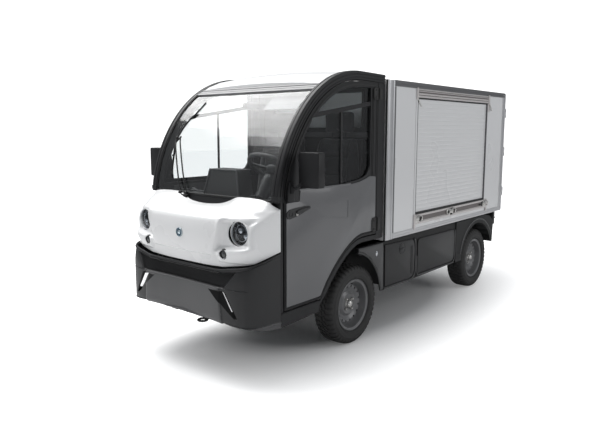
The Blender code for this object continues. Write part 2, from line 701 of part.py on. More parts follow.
def build_steering_wheel():
    """Rim with three spokes on a hub, square to the column."""
    radius, grip = 0.175, 0.0145
    builder = bmesh.new()
    rings = []
    for i in range(32):
        turn = 2 * math.pi * i / 32
        out = Vector((math.cos(turn), math.sin(turn), 0))
        rings.append([
            builder.verts.new(out * (radius + grip * math.cos(math.pi * j / 3))
                              + Vector((0, 0, grip * math.sin(math.pi * j / 3))))
            for j in range(6)
        ])
    for i in range(32):
        for j in range(6):
            builder.faces.new((rings[i][j], rings[i][(j + 1) % 6],
                               rings[(i + 1) % 32][(j + 1) % 6], rings[(i + 1) % 32][j]))
    wheel = finish("steering_wheel", builder, BLACK, 60)
    hub = rod("steering_hub", (0, 0, -0.046), (0, 0, -0.008), 0.048, BLACK, 20)
    spokes = []
    for degrees in (90, 200, 340):
        turn = math.radians(degrees)
        spokes.append(rod("spoke", (0.03 * math.cos(turn), 0.03 * math.sin(turn), -0.026),
                          (radius * math.cos(turn), radius * math.sin(turn), 0), 0.010, BLACK, 8))
    place = Matrix.Translation(STEER_CENTRE) @ Matrix.Rotation(-STEER_TILT, 4, "X")
    for piece in (wheel, hub, *spokes):
        piece.matrix_world = place
    return join(wheel, hub, *spokes)


def build_seat(name, side):
    """Plain seat: cushion, back and headrest in one."""
    x = side * SEAT_X
    top = PLINTH_Z + 0.075 + GAP
    cushion = block(name, x - 0.235, x + 0.235, y_at(-0.235), y_at(0.235), top, top + 0.115, SEAT_CLOTH)
    back = prism(name + "_back", in_world([(0.060, top + 0.08), (0.200, top + 0.08),
                                           (0.245, 1.465), (0.150, 1.480)]),
                 x - 0.225, x + 0.225, SEAT_CLOTH)
    head = prism(name + "_head", in_world([(0.155, 1.44), (0.235, 1.44), (0.250, 1.655),
                                           (0.165, 1.660)]),
                 x - 0.130, x + 0.130, SEAT_CLOTH)
    return join(cushion, back, head)


# ---------------------------------------------------------------- box body
def build_box_side(name, side):
    """Framed side wall: posts and rails stand 4 mm proud of the panel, round the shutter's opening."""
    outer, inner = side * BOX_HALF, side * (BOX_HALF - WALL_T)
    front, rear = y_at(BOX_FRONT), y_at(BOX_REAR)
    wall = block(name, inner, outer, front, rear, BOX_LOW, BOX_TOP, BOX_PANEL)
    low, high = BOX_LOW + RAIL_H, BOX_TOP - RAIL_H
    field = [
        block(name + "_field_front", outer - side * 0.004, outer + side * 0.05,
              front + POST_W, y_at(SHUTTER_FRONT) - 0.030, low, high, BOX_PANEL),
        block(name + "_field_rear", outer - side * 0.004, outer + side * 0.05,
              y_at(SHUTTER_REAR) + 0.030, rear - 0.048, low, high, BOX_PANEL),
    ]
    opening = block(name + "_opening", inner - side * 0.05, outer + side * 0.05,
                    y_at(SHUTTER_FRONT), y_at(SHUTTER_REAR), SHUTTER_LOW, SHUTTER_TOP, BOX_PANEL)
    return cut(wall, *field, opening)


def build_shutter(name, side):
    """Slatted curtain with its bottom bar, closed."""
    outer = side * (BOX_HALF - 0.012)
    clear = 0.0015
    curtain = block(name, outer - side * 0.010, outer, y_at(SHUTTER_FRONT) + clear,
                    y_at(SHUTTER_REAR) - clear, SHUTTER_LOW + clear, SHUTTER_TOP - clear, BOX_PANEL)
    bar = block(name + "_bar", outer - side * 0.005, side * (BOX_HALF + 0.012),
                y_at(SHUTTER_FRONT) + 0.004, y_at(SHUTTER_REAR) - 0.004,
                SHUTTER_LOW + 0.012, SHUTTER_LOW + 0.055, ALUMINIUM)
    return join(curtain, bar)


def build_box_floor():
    return block("box_floor", -BOX_HALF + WALL_T + GAP, BOX_HALF - WALL_T - GAP, y_at(BOX_FRONT),
                 y_at(BOX_REAR), BOX_LOW, BOX_LOW + RAIL_H, BOX_PANEL)


def build_box_roof():
    return block("box_roof", -BOX_HALF + WALL_T + GAP, BOX_HALF - WALL_T - GAP, y_at(BOX_FRONT),
                 y_at(BOX_REAR), BOX_TOP - RAIL_H, BOX_TOP, BOX_PANEL)


def build_box_front():
    return block("box_front_wall", -BOX_HALF + WALL_T + GAP, BOX_HALF - WALL_T - GAP,
                 y_at(BOX_FRONT), y_at(BOX_FRONT) + WALL_T, BOX_LOW + RAIL_H + GAP,
                 BOX_TOP - RAIL_H - GAP, BOX_PANEL)


REAR_DOOR_GAP = 0.006
REAR_HINGE_X = BOX_HALF - 0.001
REAR_HINGE_Y = BOX_REAR + REAR_DOOR_GAP + REAR_DOOR_T + 0.003
REAR_HINGE_R = 0.007


def build_rear_door(name, side):
    """One of the two rear doors, with its outer edge on the hinge side and two hinge knuckles."""
    front = y_at(BOX_REAR) + REAR_DOOR_GAP
    door = block(name, side * 0.003, side * (BOX_HALF - 0.002), front, front + REAR_DOOR_T,
                 BOX_LOW + 0.004, BOX_TOP - 0.002, BOX_PANEL)
    knuckles = []
    for z in (0.90, 1.30, 1.68):
        knuckles.append(rod("hinge_knuckle",
                            (side * REAR_HINGE_X, y_at(REAR_HINGE_Y), z - 0.045),
                            (side * REAR_HINGE_X, y_at(REAR_HINGE_Y), z + 0.045),
                            REAR_HINGE_R, ALUMINIUM, 12))
    return join(door, *knuckles)


# ---------------------------------------------------------------- lower side panels
def build_skirt(name, side):
    """Cover below the box: the rear half of the front wheel's arch, the battery's side, the mudguard."""
    rear = WHEELBASE - MUDGUARD_R - 0.100
    outline = [(0.012, UNDER_BOX), (0.012, 0.655)]
    outline += bezier((0.030, 0.640), (0.180, 0.625), (0.310, 0.520), (0.330, SKIRT_LOW), 6)
    outline += [(rear, SKIRT_LOW), (rear, UNDER_BOX)]
    cover = prism(name, in_world(outline), side * (SKIRT_OUT - SKIRT_T), side * SKIRT_OUT,
                  CHARCOAL)
    return join(cover, build_mudguard("mudguard", side))


def build_mudguard(name, side):
    """Rear mudguard: an arched band over the tyre, filled in front to meet the cover."""
    centre_y, centre_z = WHEELBASE, TYRE_R
    inner, outer = MUDGUARD_R, MUDGUARD_R + MUDGUARD_T
    front, top = centre_y - inner - 0.114, UNDER_BOX - 0.001
    outline = [(front, top), (front, SKIRT_LOW + 0.001), (centre_y - inner, SKIRT_LOW + 0.001)]
    for i in range(13):
        turn = math.radians(174 - (174 - 20) * i / 12)
        outline.append((centre_y + inner * math.cos(turn), centre_z + inner * math.sin(turn)))
    outline += [(centre_y + outer - 0.024, centre_z + 0.112), (centre_y + outer - 0.010, centre_z + 0.285),
                (centre_y + outer - 0.030, centre_z + 0.340), (centre_y + 0.290, centre_z + 0.385),
                (centre_y + 0.170, top)]
    return prism(name, in_world(outline), side * 0.400, side * (SKIRT_OUT + 0.008), CHARCOAL)


def build_lamp_bar():
    """Rear underrun bar across the ends of the frame rails, carrying the rear lamps."""
    return block("rear_lamp_bar", -0.560, 0.560, y_at(BOX_REAR - LAMP_BAR_T), y_at(BOX_REAR),
                 UNDER_BOX - 0.130, UNDER_BOX, STEEL)


# ---------------------------------------------------------------- assembly
for label, side in (("left", 1), ("right", -1)):
    for end, along in (("front", 0.0), ("rear", WHEELBASE)):
        build_tyre(f"tyre_{end}_{label}", side * TRACK / 2, y_at(along))
        build_rim(f"rim_{end}_{label}", side * TRACK / 2, y_at(along), side)
    build_knuckle(f"knuckle_{label}", side)
    build_arch(f"cab_arch_{label}", side)
    build_headlight(f"headlight_{label}", side)
    build_door(f"cab_door_{label}", side)
    build_door_glass(f"door_glass_{label}", side)
    build_mirror(f"mirror_{label}", side)
    build_seat("driver_seat" if side > 0 else "passenger_seat", side)
    build_box_side(f"box_side_{label}", side)
    build_shutter(f"shutter_{label}", side)
    build_rear_door(f"rear_door_{label}", side)
    build_skirt(f"side_skirt_{label}", side)

build_frame()
build_front_axle()
build_rear_axle()
block("battery_pack", -BATTERY_HALF, BATTERY_HALF, y_at(BATTERY_FRONT),
      y_at(WHEELBASE - MUDGUARD_R - 0.160), BATTERY_LOW, FRAME_LOW - GAP, STEEL)
build_cab_floor()
build_front_bulkhead()
build_rear_wall()
block("rear_window", -0.439, 0.439, y_at(CAB_REAR - 0.021), y_at(CAB_REAR - 0.015), 1.531, 1.789,
      CLEAR)
build_roof()
build_header()
build_windscreen()
build_bonnet()
build_bumper()
build_dashboard()
build_steering_wheel()
build_box_floor()
build_box_roof()
build_box_front()
build_lamp_bar()
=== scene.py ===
"""A two-seat electric utility vehicle with a box body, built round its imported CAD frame.

Metres, +Z up. The vehicle faces -Y and its left side is +X. Lengths along it are measured
backwards from the front axle.
"""
import math

import bpy
import numpy as np
from mathutils import Matrix, Vector


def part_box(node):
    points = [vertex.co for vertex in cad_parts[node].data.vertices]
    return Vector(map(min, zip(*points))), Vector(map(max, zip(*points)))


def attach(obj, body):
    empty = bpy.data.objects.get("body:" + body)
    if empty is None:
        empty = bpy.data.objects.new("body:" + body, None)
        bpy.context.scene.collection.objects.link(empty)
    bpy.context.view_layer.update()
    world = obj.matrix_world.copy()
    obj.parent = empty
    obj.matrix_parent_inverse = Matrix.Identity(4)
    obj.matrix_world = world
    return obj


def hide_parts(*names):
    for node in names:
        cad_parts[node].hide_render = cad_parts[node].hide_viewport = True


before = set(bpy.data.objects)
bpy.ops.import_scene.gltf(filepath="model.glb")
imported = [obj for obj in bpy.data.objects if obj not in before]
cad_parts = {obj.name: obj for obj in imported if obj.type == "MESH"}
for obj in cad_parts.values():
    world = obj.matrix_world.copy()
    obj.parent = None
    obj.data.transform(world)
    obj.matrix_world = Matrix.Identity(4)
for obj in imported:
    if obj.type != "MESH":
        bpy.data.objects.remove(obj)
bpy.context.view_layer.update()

# ------------------------------------------------------------------ studio
# A pale floor under an even white room, with one large soft lamp overhead and a weaker one at the
# left. The camera stands at head height off the front left corner.
FRONT_AXLE_Y = sum(corner[1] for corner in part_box("tyre_front_left")) / 2
CAMERA_BEHIND_AXLE = -3.3369


def behind(distance):
    """World Y of a length measured backwards from the front axle."""
    return FRONT_AXLE_Y + distance


def in_scene(name, data):
    """A new object for a camera, lamp, mesh or curve, linked to the scene."""
    made = bpy.data.objects.new(name, data)
    bpy.context.scene.collection.objects.link(made)
    return made


def set_inputs(node, **values):
    """Sets a node's inputs by name, an underscore standing for a space."""
    for label, value in values.items():
        node.inputs[label.replace("_", " ")].default_value = value
    return node


def add_node(tree, kind, operation=None, **values):
    """A new shader node with its operation and some inputs set."""
    node = tree.nodes.new("ShaderNode" + kind)
    if operation:
        node.operation = operation
    return set_inputs(node, **values)


def connect(tree, *pairs):
    """Links each output to its input."""
    for source, target in pairs:
        tree.links.new(source, target)


camera_data = bpy.data.cameras.new("camera")
camera_data.sensor_width, camera_data.lens = 36.0, 35.128
camera = in_scene("camera", camera_data)
turn, rise = math.radians(40.046), math.radians(7.933)
look_back = Vector((
    math.sin(turn) * math.cos(rise), -math.cos(turn) * math.cos(rise), math.sin(rise),
))
camera.location = (2.8633, behind(CAMERA_BEHIND_AXLE), 1.5161)
camera.rotation_euler = (-look_back).to_track_quat("-Z", "Y").to_euler()
bpy.context.scene.camera = camera
bpy.context.scene.view_settings.view_transform = "Standard"

bpy.ops.object.select_all(action="DESELECT")
bpy.ops.mesh.primitive_plane_add(size=60, location=(0, 0, 0))
floor = bpy.context.object
floor.name = "studio_floor"
floor_paint = bpy.data.materials.new("floor_paint")
floor_paint.use_nodes = True
tree = floor_paint.node_tree
shader = set_inputs(tree.nodes["Principled BSDF"], Base_Color=(0.86, 0.86, 0.86, 1),
                    Roughness=0.7, Emission_Strength=1.0)
# The floor glows faintly away from the vehicle, out of an oval that keeps the shadow under it.
oval = add_node(tree, "VectorMath", "MULTIPLY")
oval.inputs[1].default_value = (1, 0.45, 1)
reach = add_node(tree, "VectorMath", "LENGTH")
fade = add_node(tree, "MapRange", From_Min=0.52, From_Max=1.5, To_Min=0.0, To_Max=1.0)
connect(tree, (add_node(tree, "TexCoord").outputs["Object"], oval.inputs[0]),
        (oval.outputs[0], reach.inputs[0]),
        (reach.outputs["Value"], fade.inputs["Value"]),
        (fade.outputs[0], shader.inputs["Emission Color"]),
        (add_node(tree, "LightPath").outputs["Is Camera Ray"], shader.inputs["Emission Strength"]))
floor.data.materials.append(floor_paint)

world = bpy.data.worlds.new("white_room")
bpy.context.scene.world = world
world.use_nodes = True
room = world.node_tree
room_light = set_inputs(room.nodes["Background"], Color=(0.93, 0.96, 1.0, 1), Strength=0.36)
backdrop = add_node(room, "Background", Color=(1, 1, 1, 1), Strength=1.4)
room_mix = add_node(room, "MixShader")
connect(room, (add_node(room, "LightPath").outputs["Is Camera Ray"], room_mix.inputs["Fac"]),
        (room_light.outputs[0], room_mix.inputs[1]), (backdrop.outputs[0], room_mix.inputs[2]),
        (room_mix.outputs[0], room.nodes["World Output"].inputs["Surface"]))

for lamp_name, place, size, power in (
    ("overhead_softbox", (-2.2, -1.2, 6.0), 5.5, 580.0),
    ("side_softbox", (6.5, 2.5, 3.6), 4.0, 95.0),
):
    lamp_data = bpy.data.lights.new(lamp_name, "AREA")
    lamp_data.size, lamp_data.energy = size, power
    lamp = in_scene(lamp_name, lamp_data)
    lamp.location = place
    lamp.rotation_euler = (Vector((0, 0, 0.8)) - Vector(place)).to_track_quat("-Z", "Y").to_euler()


# ------------------------------------------------------------------ finishes shared by the panels
# Moulded plastic, paint and pressed metal all vary a little in tone and gloss from place to place
# and carry a fine grain, so they share one group, placed with each finish's own values.
def new_group(name, inputs, outputs):
    """An empty shader group with its sockets."""
    group = bpy.data.node_groups.new(name, "ShaderNodeTree")
    for side, sockets in (("INPUT", inputs), ("OUTPUT", outputs)):
        for label, kind in sockets:
            group.interface.new_socket(label, in_out=side, socket_type="NodeSocket" + kind)
    return group, group.nodes.new("NodeGroupInput"), group.nodes.new("NodeGroupOutput")


def math_node(tree, operation, first, second, clamp=False):
    """A Math node; each value is a socket or a number."""
    node = add_node(tree, "Math", operation)
    node.use_clamp = clamp
    for socket, value in zip(node.inputs, (first, second)):
        if isinstance(value, (int, float)):
            socket.default_value = value
        else:
            tree.links.new(value, socket)
    return node.outputs[0]


def colour_mix(tree, share, first, second):
    """A Mix node between two colour sockets."""
    node = add_node(tree, "Mix")
    node.data_type = "RGBA"
    connect(tree, (share, node.inputs[0]), (first, node.inputs[6]), (second, node.inputs[7]))
    return node.outputs[2]


grain, grain_in, grain_out = new_group(
    "surface_grain",
    (("Tone", "Color"), ("Second tone", "Color"), ("Patch size", "Float"), ("Grain size", "Float"),
     ("Roughness", "Float"), ("Roughness spread", "Float"), ("Stretch", "Vector")),
    (("Colour", "Color"), ("Roughness", "Float"), ("Height", "Float")),
)
stretch = add_node(grain, "VectorMath", "MULTIPLY")
connect(grain, (add_node(grain, "TexCoord").outputs["Object"], stretch.inputs[0]),
        (grain_in.outputs["Stretch"], stretch.inputs[1]))
patches, fine = (add_node(grain, "TexNoise", Detail=3.0) for _ in range(2))
for noise, size in ((patches, "Patch size"), (fine, "Grain size")):
    connect(grain, (stretch.outputs[0], noise.inputs["Vector"]),
            (grain_in.outputs[size], noise.inputs["Scale"]))
swing = math_node(grain, "SUBTRACT", patches.outputs["Fac"], 0.5)
swing = math_node(grain, "MULTIPLY", swing, grain_in.outputs["Roughness spread"])
rough = math_node(grain, "ADD", grain_in.outputs["Roughness"], swing, clamp=True)
tones = colour_mix(grain, patches.outputs["Fac"], grain_in.outputs["Tone"],
                   grain_in.outputs["Second tone"])
connect(grain, (tones, grain_out.inputs["Colour"]), (rough, grain_out.inputs["Roughness"]),
        (fine.outputs["Fac"], grain_out.inputs["Height"]))


def group_finish(name, group, strength, depth, **values):
    """A material whose colour, roughness and relief come from a shader group."""
    made = bpy.data.materials.new(name)
    made.use_nodes = True
    tree = made.node_tree
    shader = tree.nodes["Principled BSDF"]
    surface = add_node(tree, "Group")
    surface.node_tree = group
    set_inputs(surface, **values)
    bump = add_node(tree, "Bump", Strength=strength, Distance=depth)
    connect(tree, (surface.outputs["Colour"], shader.inputs["Base Color"]),
            (surface.outputs["Roughness"], shader.inputs["Roughness"]),
            (surface.outputs["Height"], bump.inputs["Height"]),
            (bump.outputs[0], shader.inputs["Normal"]))
    return made, shader


def grained_finish(name, tone, second, roughness, spread=0.08, metallic=0.0, coat=0.0,
                   patch=3.0, grain_size=400.0, depth=0.0003, strength=0.25,
                   stretched=(1, 1, 1), gloss=0.5):
    """A material from the surface_grain group. Grain sizes are in repeats per metre."""
    made, shader = group_finish(
        name, grain, strength, depth, Tone=(*tone, 1), Second_tone=(*second, 1), Patch_size=patch,
        Grain_size=grain_size, Roughness=roughness, Roughness_spread=spread, Stretch=stretched)
    set_inputs(shader, Metallic=metallic, Coat_Weight=coat, Specular_IOR_Level=gloss,
               Coat_Roughness=0.04)
    return made


white_paint = grained_finish("white_paint", (0.80, 0.80, 0.80), (0.84, 0.84, 0.84), 0.28,
                             coat=0.5, grain_size=60, depth=0.0004, strength=0.05)
satin_black = grained_finish("satin_black", (0.010, 0.010, 0.011), (0.016, 0.016, 0.017), 0.45,
                             patch=5, grain_size=500, strength=0.12, gloss=0.3)
grained_plastic = grained_finish("grained_plastic", (0.019, 0.019, 0.0195), (0.026, 0.026, 0.027),
                                 0.50, patch=4, grain_size=1100, depth=0.0004, strength=0.45)
dash_plastic = grained_finish("dash_plastic", (0.017, 0.017, 0.0175), (0.023, 0.023, 0.0235), 0.55,
                              patch=6, grain_size=1400, strength=0.5)
door_paint = grained_finish("door_paint", (0.115, 0.116, 0.120), (0.135, 0.136, 0.140), 0.30,
                            coat=0.25, patch=1.6, grain_size=80, strength=0.04)
black_steel = grained_finish("black_steel", (0.016, 0.016, 0.016), (0.028, 0.027, 0.026), 0.5,
                             0.2, metallic=0.3, patch=9, grain_size=500, strength=0.3)
battery_case = grained_finish("battery_case", (0.022, 0.022, 0.023), (0.030, 0.030, 0.031), 0.6,
                              patch=6, grain_size=700, strength=0.4)
panel_coating = grained_finish("panel_coating", (0.70, 0.70, 0.705), (0.74, 0.74, 0.745), 0.28,
                               coat=0.7, patch=1.2, grain_size=50, strength=0.05)
aluminium = grained_finish("aluminium", (0.52, 0.52, 0.53), (0.62, 0.62, 0.63), 0.34, 0.12,
    metallic=0.85, patch=7, grain_size=300, strength=0.12, stretched=(1, 0.06, 1))
grey_rail = grained_finish("grey_rail", (0.13, 0.13, 0.135), (0.17, 0.17, 0.175), 0.4, 0.1,
    metallic=0.6, patch=7, grain_size=300, strength=0.12, stretched=(1, 0.06, 1))
header_paint = grained_finish("header_paint", (0.2, 0.2, 0.202), (0.24, 0.24, 0.242), 0.48, 0.1,
    metallic=0.1, patch=6, grain_size=300, strength=0.1, stretched=(0.06, 1, 1))


def glazing(name, tint, haze, mirror=1.5):
    """Thin glass: tinted and see-through, with a surface reflection a little blurred by haze."""
    made = bpy.data.materials.new(name)
    made.use_nodes = True
    tree = made.node_tree
    tree.nodes.remove(tree.nodes["Principled BSDF"])
    film = add_node(tree, "TexNoise", Scale=5.0)
    through = add_node(tree, "BsdfTransparent", Color=(*tint, 1))
    reflect = add_node(tree, "BsdfGlossy")
    fresnel = add_node(tree, "Fresnel", IOR=mirror)
    outer = math_node(tree, "SUBTRACT", 1.0, add_node(tree, "NewGeometry").outputs["Backfacing"])
    both = add_node(tree, "MixShader")
    connect(tree, (add_node(tree, "TexCoord").outputs["Object"], film.inputs["Vector"]),
            (math_node(tree, "MULTIPLY", film.outputs["Fac"], haze), reflect.inputs["Roughness"]),
            (math_node(tree, "MULTIPLY", fresnel.outputs[0], outer), both.inputs["Fac"]),
            (through.outputs[0], both.inputs[1]), (reflect.outputs[0], both.inputs[2]),
            (both.outputs[0], tree.nodes["Material Output"].inputs["Surface"]))
    return made


clear_glass = glazing("clear_glass", (0.965, 0.975, 0.975), 0.35, 1.75)
door_tint = glazing("door_tint", (0.89, 0.9, 0.9), 0.1)

skirt_black = grained_finish("skirt_black", (0.006, 0.006, 0.0063), (0.009, 0.009, 0.0093), 0.5,
                             patch=3, grain_size=900, strength=0.2, gloss=0.25)

for node_names, material in (
    ("chassis_frame front_axle rear_axle knuckle_left knuckle_right rear_lamp_bar", black_steel),
    ("battery_pack", battery_case),
    ("cab_floor front_bulkhead cab_rear_wall cab_door_left cab_door_right", satin_black),
    ("side_skirt_left side_skirt_right", skirt_black),
    ("cab_roof", white_paint),
    ("box_floor box_roof box_front_wall box_side_left box_side_right shutter_left shutter_right "
     "rear_door_left rear_door_right", panel_coating),
    ("windscreen rear_window", clear_glass),
    ("door_glass_left door_glass_right", door_tint),
    ("windscreen_header", header_paint),
    ("dashboard", dash_plastic),
):
    for node_name in node_names.split():
        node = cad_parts[node_name]
        node.data.materials.clear()
        node.data.materials.append(material)


# ------------------------------------------------------------------ tyres
# Four radial tyres, moulded rubber: a carcass with a bead, a rim guard and sidewall ribs, and four
# rows of chunky tread blocks. One is modelled at the origin and the others are copies of it.
def only(piece):
    """Selects one piece and makes it active, so that an operator acts on nothing else."""
    bpy.ops.object.select_all(action="DESELECT")
    piece.select_set(True)
    bpy.context.view_layer.objects.active = piece


def mesh_piece(name, points, edges=(), faces=()):
    """A new piece from points in metres, with the edges or faces between them."""
    mesh = bpy.data.meshes.new(name)
    mesh.from_pydata([tuple(point) for point in points], list(edges), list(faces))
    piece = in_scene(name, mesh)
    only(piece)
    return piece


def tidy_mesh(piece, merge=0.00002):
    """Merges doubles and turns every face outwards."""
    only(piece)
    bpy.ops.object.mode_set(mode="EDIT")
    bpy.ops.mesh.select_all(action="SELECT")
    bpy.ops.mesh.remove_doubles(threshold=merge)
    bpy.ops.mesh.normals_make_consistent(inside=False)
    bpy.ops.object.mode_set(mode="OBJECT")
    return piece


def shaped(piece, kind, **settings):
    """Adds one modifier and applies it at once."""
    only(piece)
    modifier = piece.modifiers.new(kind.lower(), kind)
    for setting, value in settings.items():
        setattr(modifier, setting, value)
    bpy.ops.object.modifier_apply(modifier=modifier.name)
    return piece


def eased(piece, width, segments=2, angle=30):
    """Rounds the edges sharper than an angle."""
    return shaped(piece, "BEVEL", width=width, segments=segments, limit_method="ANGLE",
                  angle_limit=math.radians(angle), use_clamp_overlap=True)


def turned(name, profile, steps, centre=(0, 0, 0), axis=(1, 0, 0), closed=None):
    """Spins (distance along, radius) pairs round an axis; a line from axis to axis stays open."""
    if closed is None:
        closed = profile[0][1] > 0 or profile[-1][1] > 0
    axis, centre = Vector(axis).normalized(), Vector(centre)
    outward = axis.orthogonal().normalized()
    count = len(profile)
    piece = mesh_piece(name, [centre + axis * along + outward * radius
                              for along, radius in profile],
                       edges=[(i, (i + 1) % count) for i in range(count if closed else count - 1)])
    bpy.ops.object.mode_set(mode="EDIT")
    bpy.ops.mesh.select_all(action="SELECT")
    bpy.ops.mesh.spin(steps=steps, angle=math.tau, center=centre, axis=axis)
    bpy.ops.object.mode_set(mode="OBJECT")
    return tidy_mesh(piece)


def plate(name, outline, depth, bevel=0.0, segments=2):
    """A flat outline of points drawn out by a vector, with its edges eased."""
    piece = mesh_piece(name, outline, faces=[tuple(range(len(outline)))])
    bpy.ops.object.mode_set(mode="EDIT")
    bpy.ops.mesh.select_all(action="SELECT")
    bpy.ops.mesh.extrude_region_move(TRANSFORM_OT_translate={"value": tuple(depth)})
    bpy.ops.object.mode_set(mode="OBJECT")
    tidy_mesh(piece)
    return eased(piece, bevel, segments) if bevel else piece


def bar(name, low, high, bevel=0.003, segments=2):
    """A straight bar between two corners, with eased edges."""
    low, high = Vector(low), Vector(high)
    bpy.ops.object.select_all(action="DESELECT")
    bpy.ops.mesh.primitive_cube_add(size=1, location=(low + high) / 2)
    piece = bpy.context.object
    piece.name = name
    piece.scale = [abs(value) for value in high - low]
    bpy.ops.object.transform_apply(location=True, rotation=True, scale=True)
    return eased(piece, bevel, segments) if bevel else piece


def discard(*pieces):
    """Removes models that have been copied."""
    for piece in pieces:
        bpy.data.objects.remove(piece, do_unlink=True)


def copied(piece, name, place):
    """A copy with its own mesh, moved by a matrix and turned right side out if mirrored."""
    mesh = piece.data.copy()
    mesh.transform(place)
    if place.determinant() < 0:
        mesh.flip_normals()
    return in_scene(name, mesh)


def joined(pieces, name):
    """One piece from several."""
    only(pieces[0])
    for piece in pieces:
        piece.select_set(True)
    bpy.ops.object.join()
    made = bpy.context.object
    made.name = name
    return made


def put(piece, place):
    """Moves a piece's mesh by a matrix."""
    piece.data.transform(place)
    return piece


def moved(offset):
    """A matrix that moves by an offset."""
    return Matrix.Translation(Vector(offset))


def turned_by(degrees, axis, centre=(0, 0, 0)):
    """A matrix that turns about an axis through a centre."""
    return moved(centre) @ Matrix.Rotation(math.radians(degrees), 4, axis) @ moved(-Vector(centre))


def ring_of(piece, count, axis="X", centre=(0, 0, 0)):
    """Repeats a piece round an axis and joins the copies."""
    return joined([piece] + [copied(piece, piece.name, turned_by(360 / count * k, axis, centre))
                             for k in range(1, count)], piece.name)


def cut_out(piece, cutter):
    """Takes a cutter's shape out of a piece and discards the cutter."""
    shaped(piece, "BOOLEAN", operation="DIFFERENCE", object=cutter, solver="EXACT")
    discard(cutter)
    return tidy_mesh(piece)


MIRROR = Matrix.Diagonal((-1, 1, 1, 1))


def fitted(piece, material, body, stands_for=(), smooth=32):
    """Gives a finished piece its material, its shading and the body it rides on."""
    only(piece)
    bpy.ops.object.transform_apply(location=True, rotation=True, scale=True)
    if material is not None:
        piece.data.materials.clear()
        piece.data.materials.append(material)
    bpy.ops.object.shade_smooth_by_angle(angle=math.radians(smooth))
    piece.data.name = piece.name
    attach(piece, body)
    if stands_for:
        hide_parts(*stands_for)
    return piece


CAB_DOORS, REAR_DOORS = ("door_left", "door_right"), ("box_door_left", "box_door_right")


def both_sides(pieces, name, material, bodies=("body", "body"), stands_for="", smooth=32):
    """Fits a left piece, or several joined, and its mirrored twin."""
    piece = joined(pieces, name) if isinstance(pieces, list) else pieces
    twin = copied(piece, name + "_right", MIRROR)
    piece.name = name + "_left"
    for half, side, body in zip((piece, twin), ("_left", "_right"), bodies):
        fitted(half, material, body, (stands_for + side,) if stands_for else (), smooth)


tyre_rubber = grained_finish("tyre_rubber", (0.018, 0.018, 0.018), (0.034, 0.033, 0.032), 0.72,
                             0.15, patch=14, grain_size=600, depth=0.0006, strength=0.4)
WHEEL_X, WHEEL_R = 0.4875, 0.2825
wall = [(0.06, 0.1685), (0.0632, 0.169), (0.064, 0.185), (0.0705, 0.189), (0.077, 0.1935),
    (0.079, 0.1975), (0.0765, 0.201), (0.079, 0.206), (0.0815, 0.215), (0.0825, 0.224),
    (0.0818, 0.233), (0.0826, 0.2345), (0.0822, 0.2375), (0.0806, 0.239), (0.078, 0.25),
    (0.0735, 0.26), (0.066, 0.269), (0.056, 0.2745), (0.03, 0.2765)]
lining = [(0.052, 0.1685), (0.066, 0.2), (0.072, 0.222), (0.066, 0.246), (0.05, 0.262)]
carcass = turned("tyre_carcass", wall + [(-x, r) for x, r in reversed(wall)]
                 + [(-x, r) for x, r in lining] + [(x, r) for x, r in reversed(lining)], 88)
blocks, block_half = [], 0.0205 / 2
for offset, stagger in ((0.0135, 0), (-0.0135, 2)):
    block = bar("tread_block", (offset - block_half, -0.0155, 0.2735),
                (offset + block_half, 0.0155, 0.2827), 0.0012, 1)
    blocks.append(put(block, turned_by(stagger, "X") @ turned_by(16, "Z", (offset, 0, 0))))
for side, stagger in ((1, 4), (-1, 0)):
    shoulder = plate("shoulder_block", [(side * x, -0.013, z) for x, z in ((0.0285, 0.2735),
        (0.0285, 0.2823), (0.048, 0.2812), (0.06, 0.2782), (0.07, 0.272), (0.076, 0.264),
        (0.0785, 0.2555), (0.074, 0.2555))], (0, 0.0255, 0), 0.0012, 1)
    blocks.append(put(shoulder, turned_by(stagger, "X")))
tread = ring_of(joined(blocks, "tread"), 44)
tyre = joined([carcass, tread], "tyre")

# ------------------------------------------------------------------ wheels
# Pressed steel wheels painted grey: a dished disc with a ring of vent holes welded into a rolled
# rim, four bright cone nuts round a dust cap, and a rubber valve.
wheel_paint = grained_finish("wheel_paint", (0.125, 0.125, 0.128), (0.165, 0.165, 0.168), 0.36,
    0.12, metallic=0.25, coat=0.2, patch=11, grain_size=260, depth=0.0003, strength=0.15)
bright_steel = grained_finish("bright_steel", (0.62, 0.61, 0.59), (0.50, 0.49, 0.47), 0.26, 0.2,
                              metallic=1.0, patch=60, grain_size=700, strength=0.2)
rim_profile = [(0.07, 0.183), (0.0692, 0.185), (0.0655, 0.185), (0.063, 0.178), (0.0622, 0.169),
    (0.03, 0.1677), (0.01, 0.161), (-0.025, 0.161), (-0.045, 0.1677), (-0.063, 0.168),
    (-0.064, 0.184), (-0.0692, 0.1845), (-0.0692, 0.18), (-0.0655, 0.1655), (-0.025, 0.156),
    (-0.005, 0.15), (0.006, 0.144), (0.012, 0.13), (0.006, 0.105), (0.002, 0.085), (0.015, 0.07),
    (0.017, 0.031), (0.022, 0.031), (0.0222, 0.068), (0.024, 0.073), (0.008, 0.09), (0.013, 0.103),
    (0.0225, 0.116), (0.027, 0.128), (0.0245, 0.138), (0.016, 0.147), (0.014, 0.153),
    (0.03, 0.158), (0.056, 0.163), (0.0625, 0.166), (0.065, 0.172), (0.066, 0.18), (0.068, 0.1825)]
disc = turned("wheel_disc", rim_profile, 96)
vent = turned("vent", [(-0.03, 0), (-0.03, 0.0080), (0.05, 0.0080), (0.05, 0)], 20,
              centre=(0, 0, 0.1270))
disc = eased(cut_out(disc, ring_of(vent, 16)), 0.0012, 2, 50)
nut = turned("wheel_nut", [(0.02, 0), (0.02, 0.0115), (0.026, 0.009), (0.027, 0.0085),
    (0.036, 0.0085), (0.0385, 0.0065), (0.039, 0)], 6, centre=(0, 0, 0.05))
nuts = ring_of(put(nut, turned_by(28, "X")), 4)
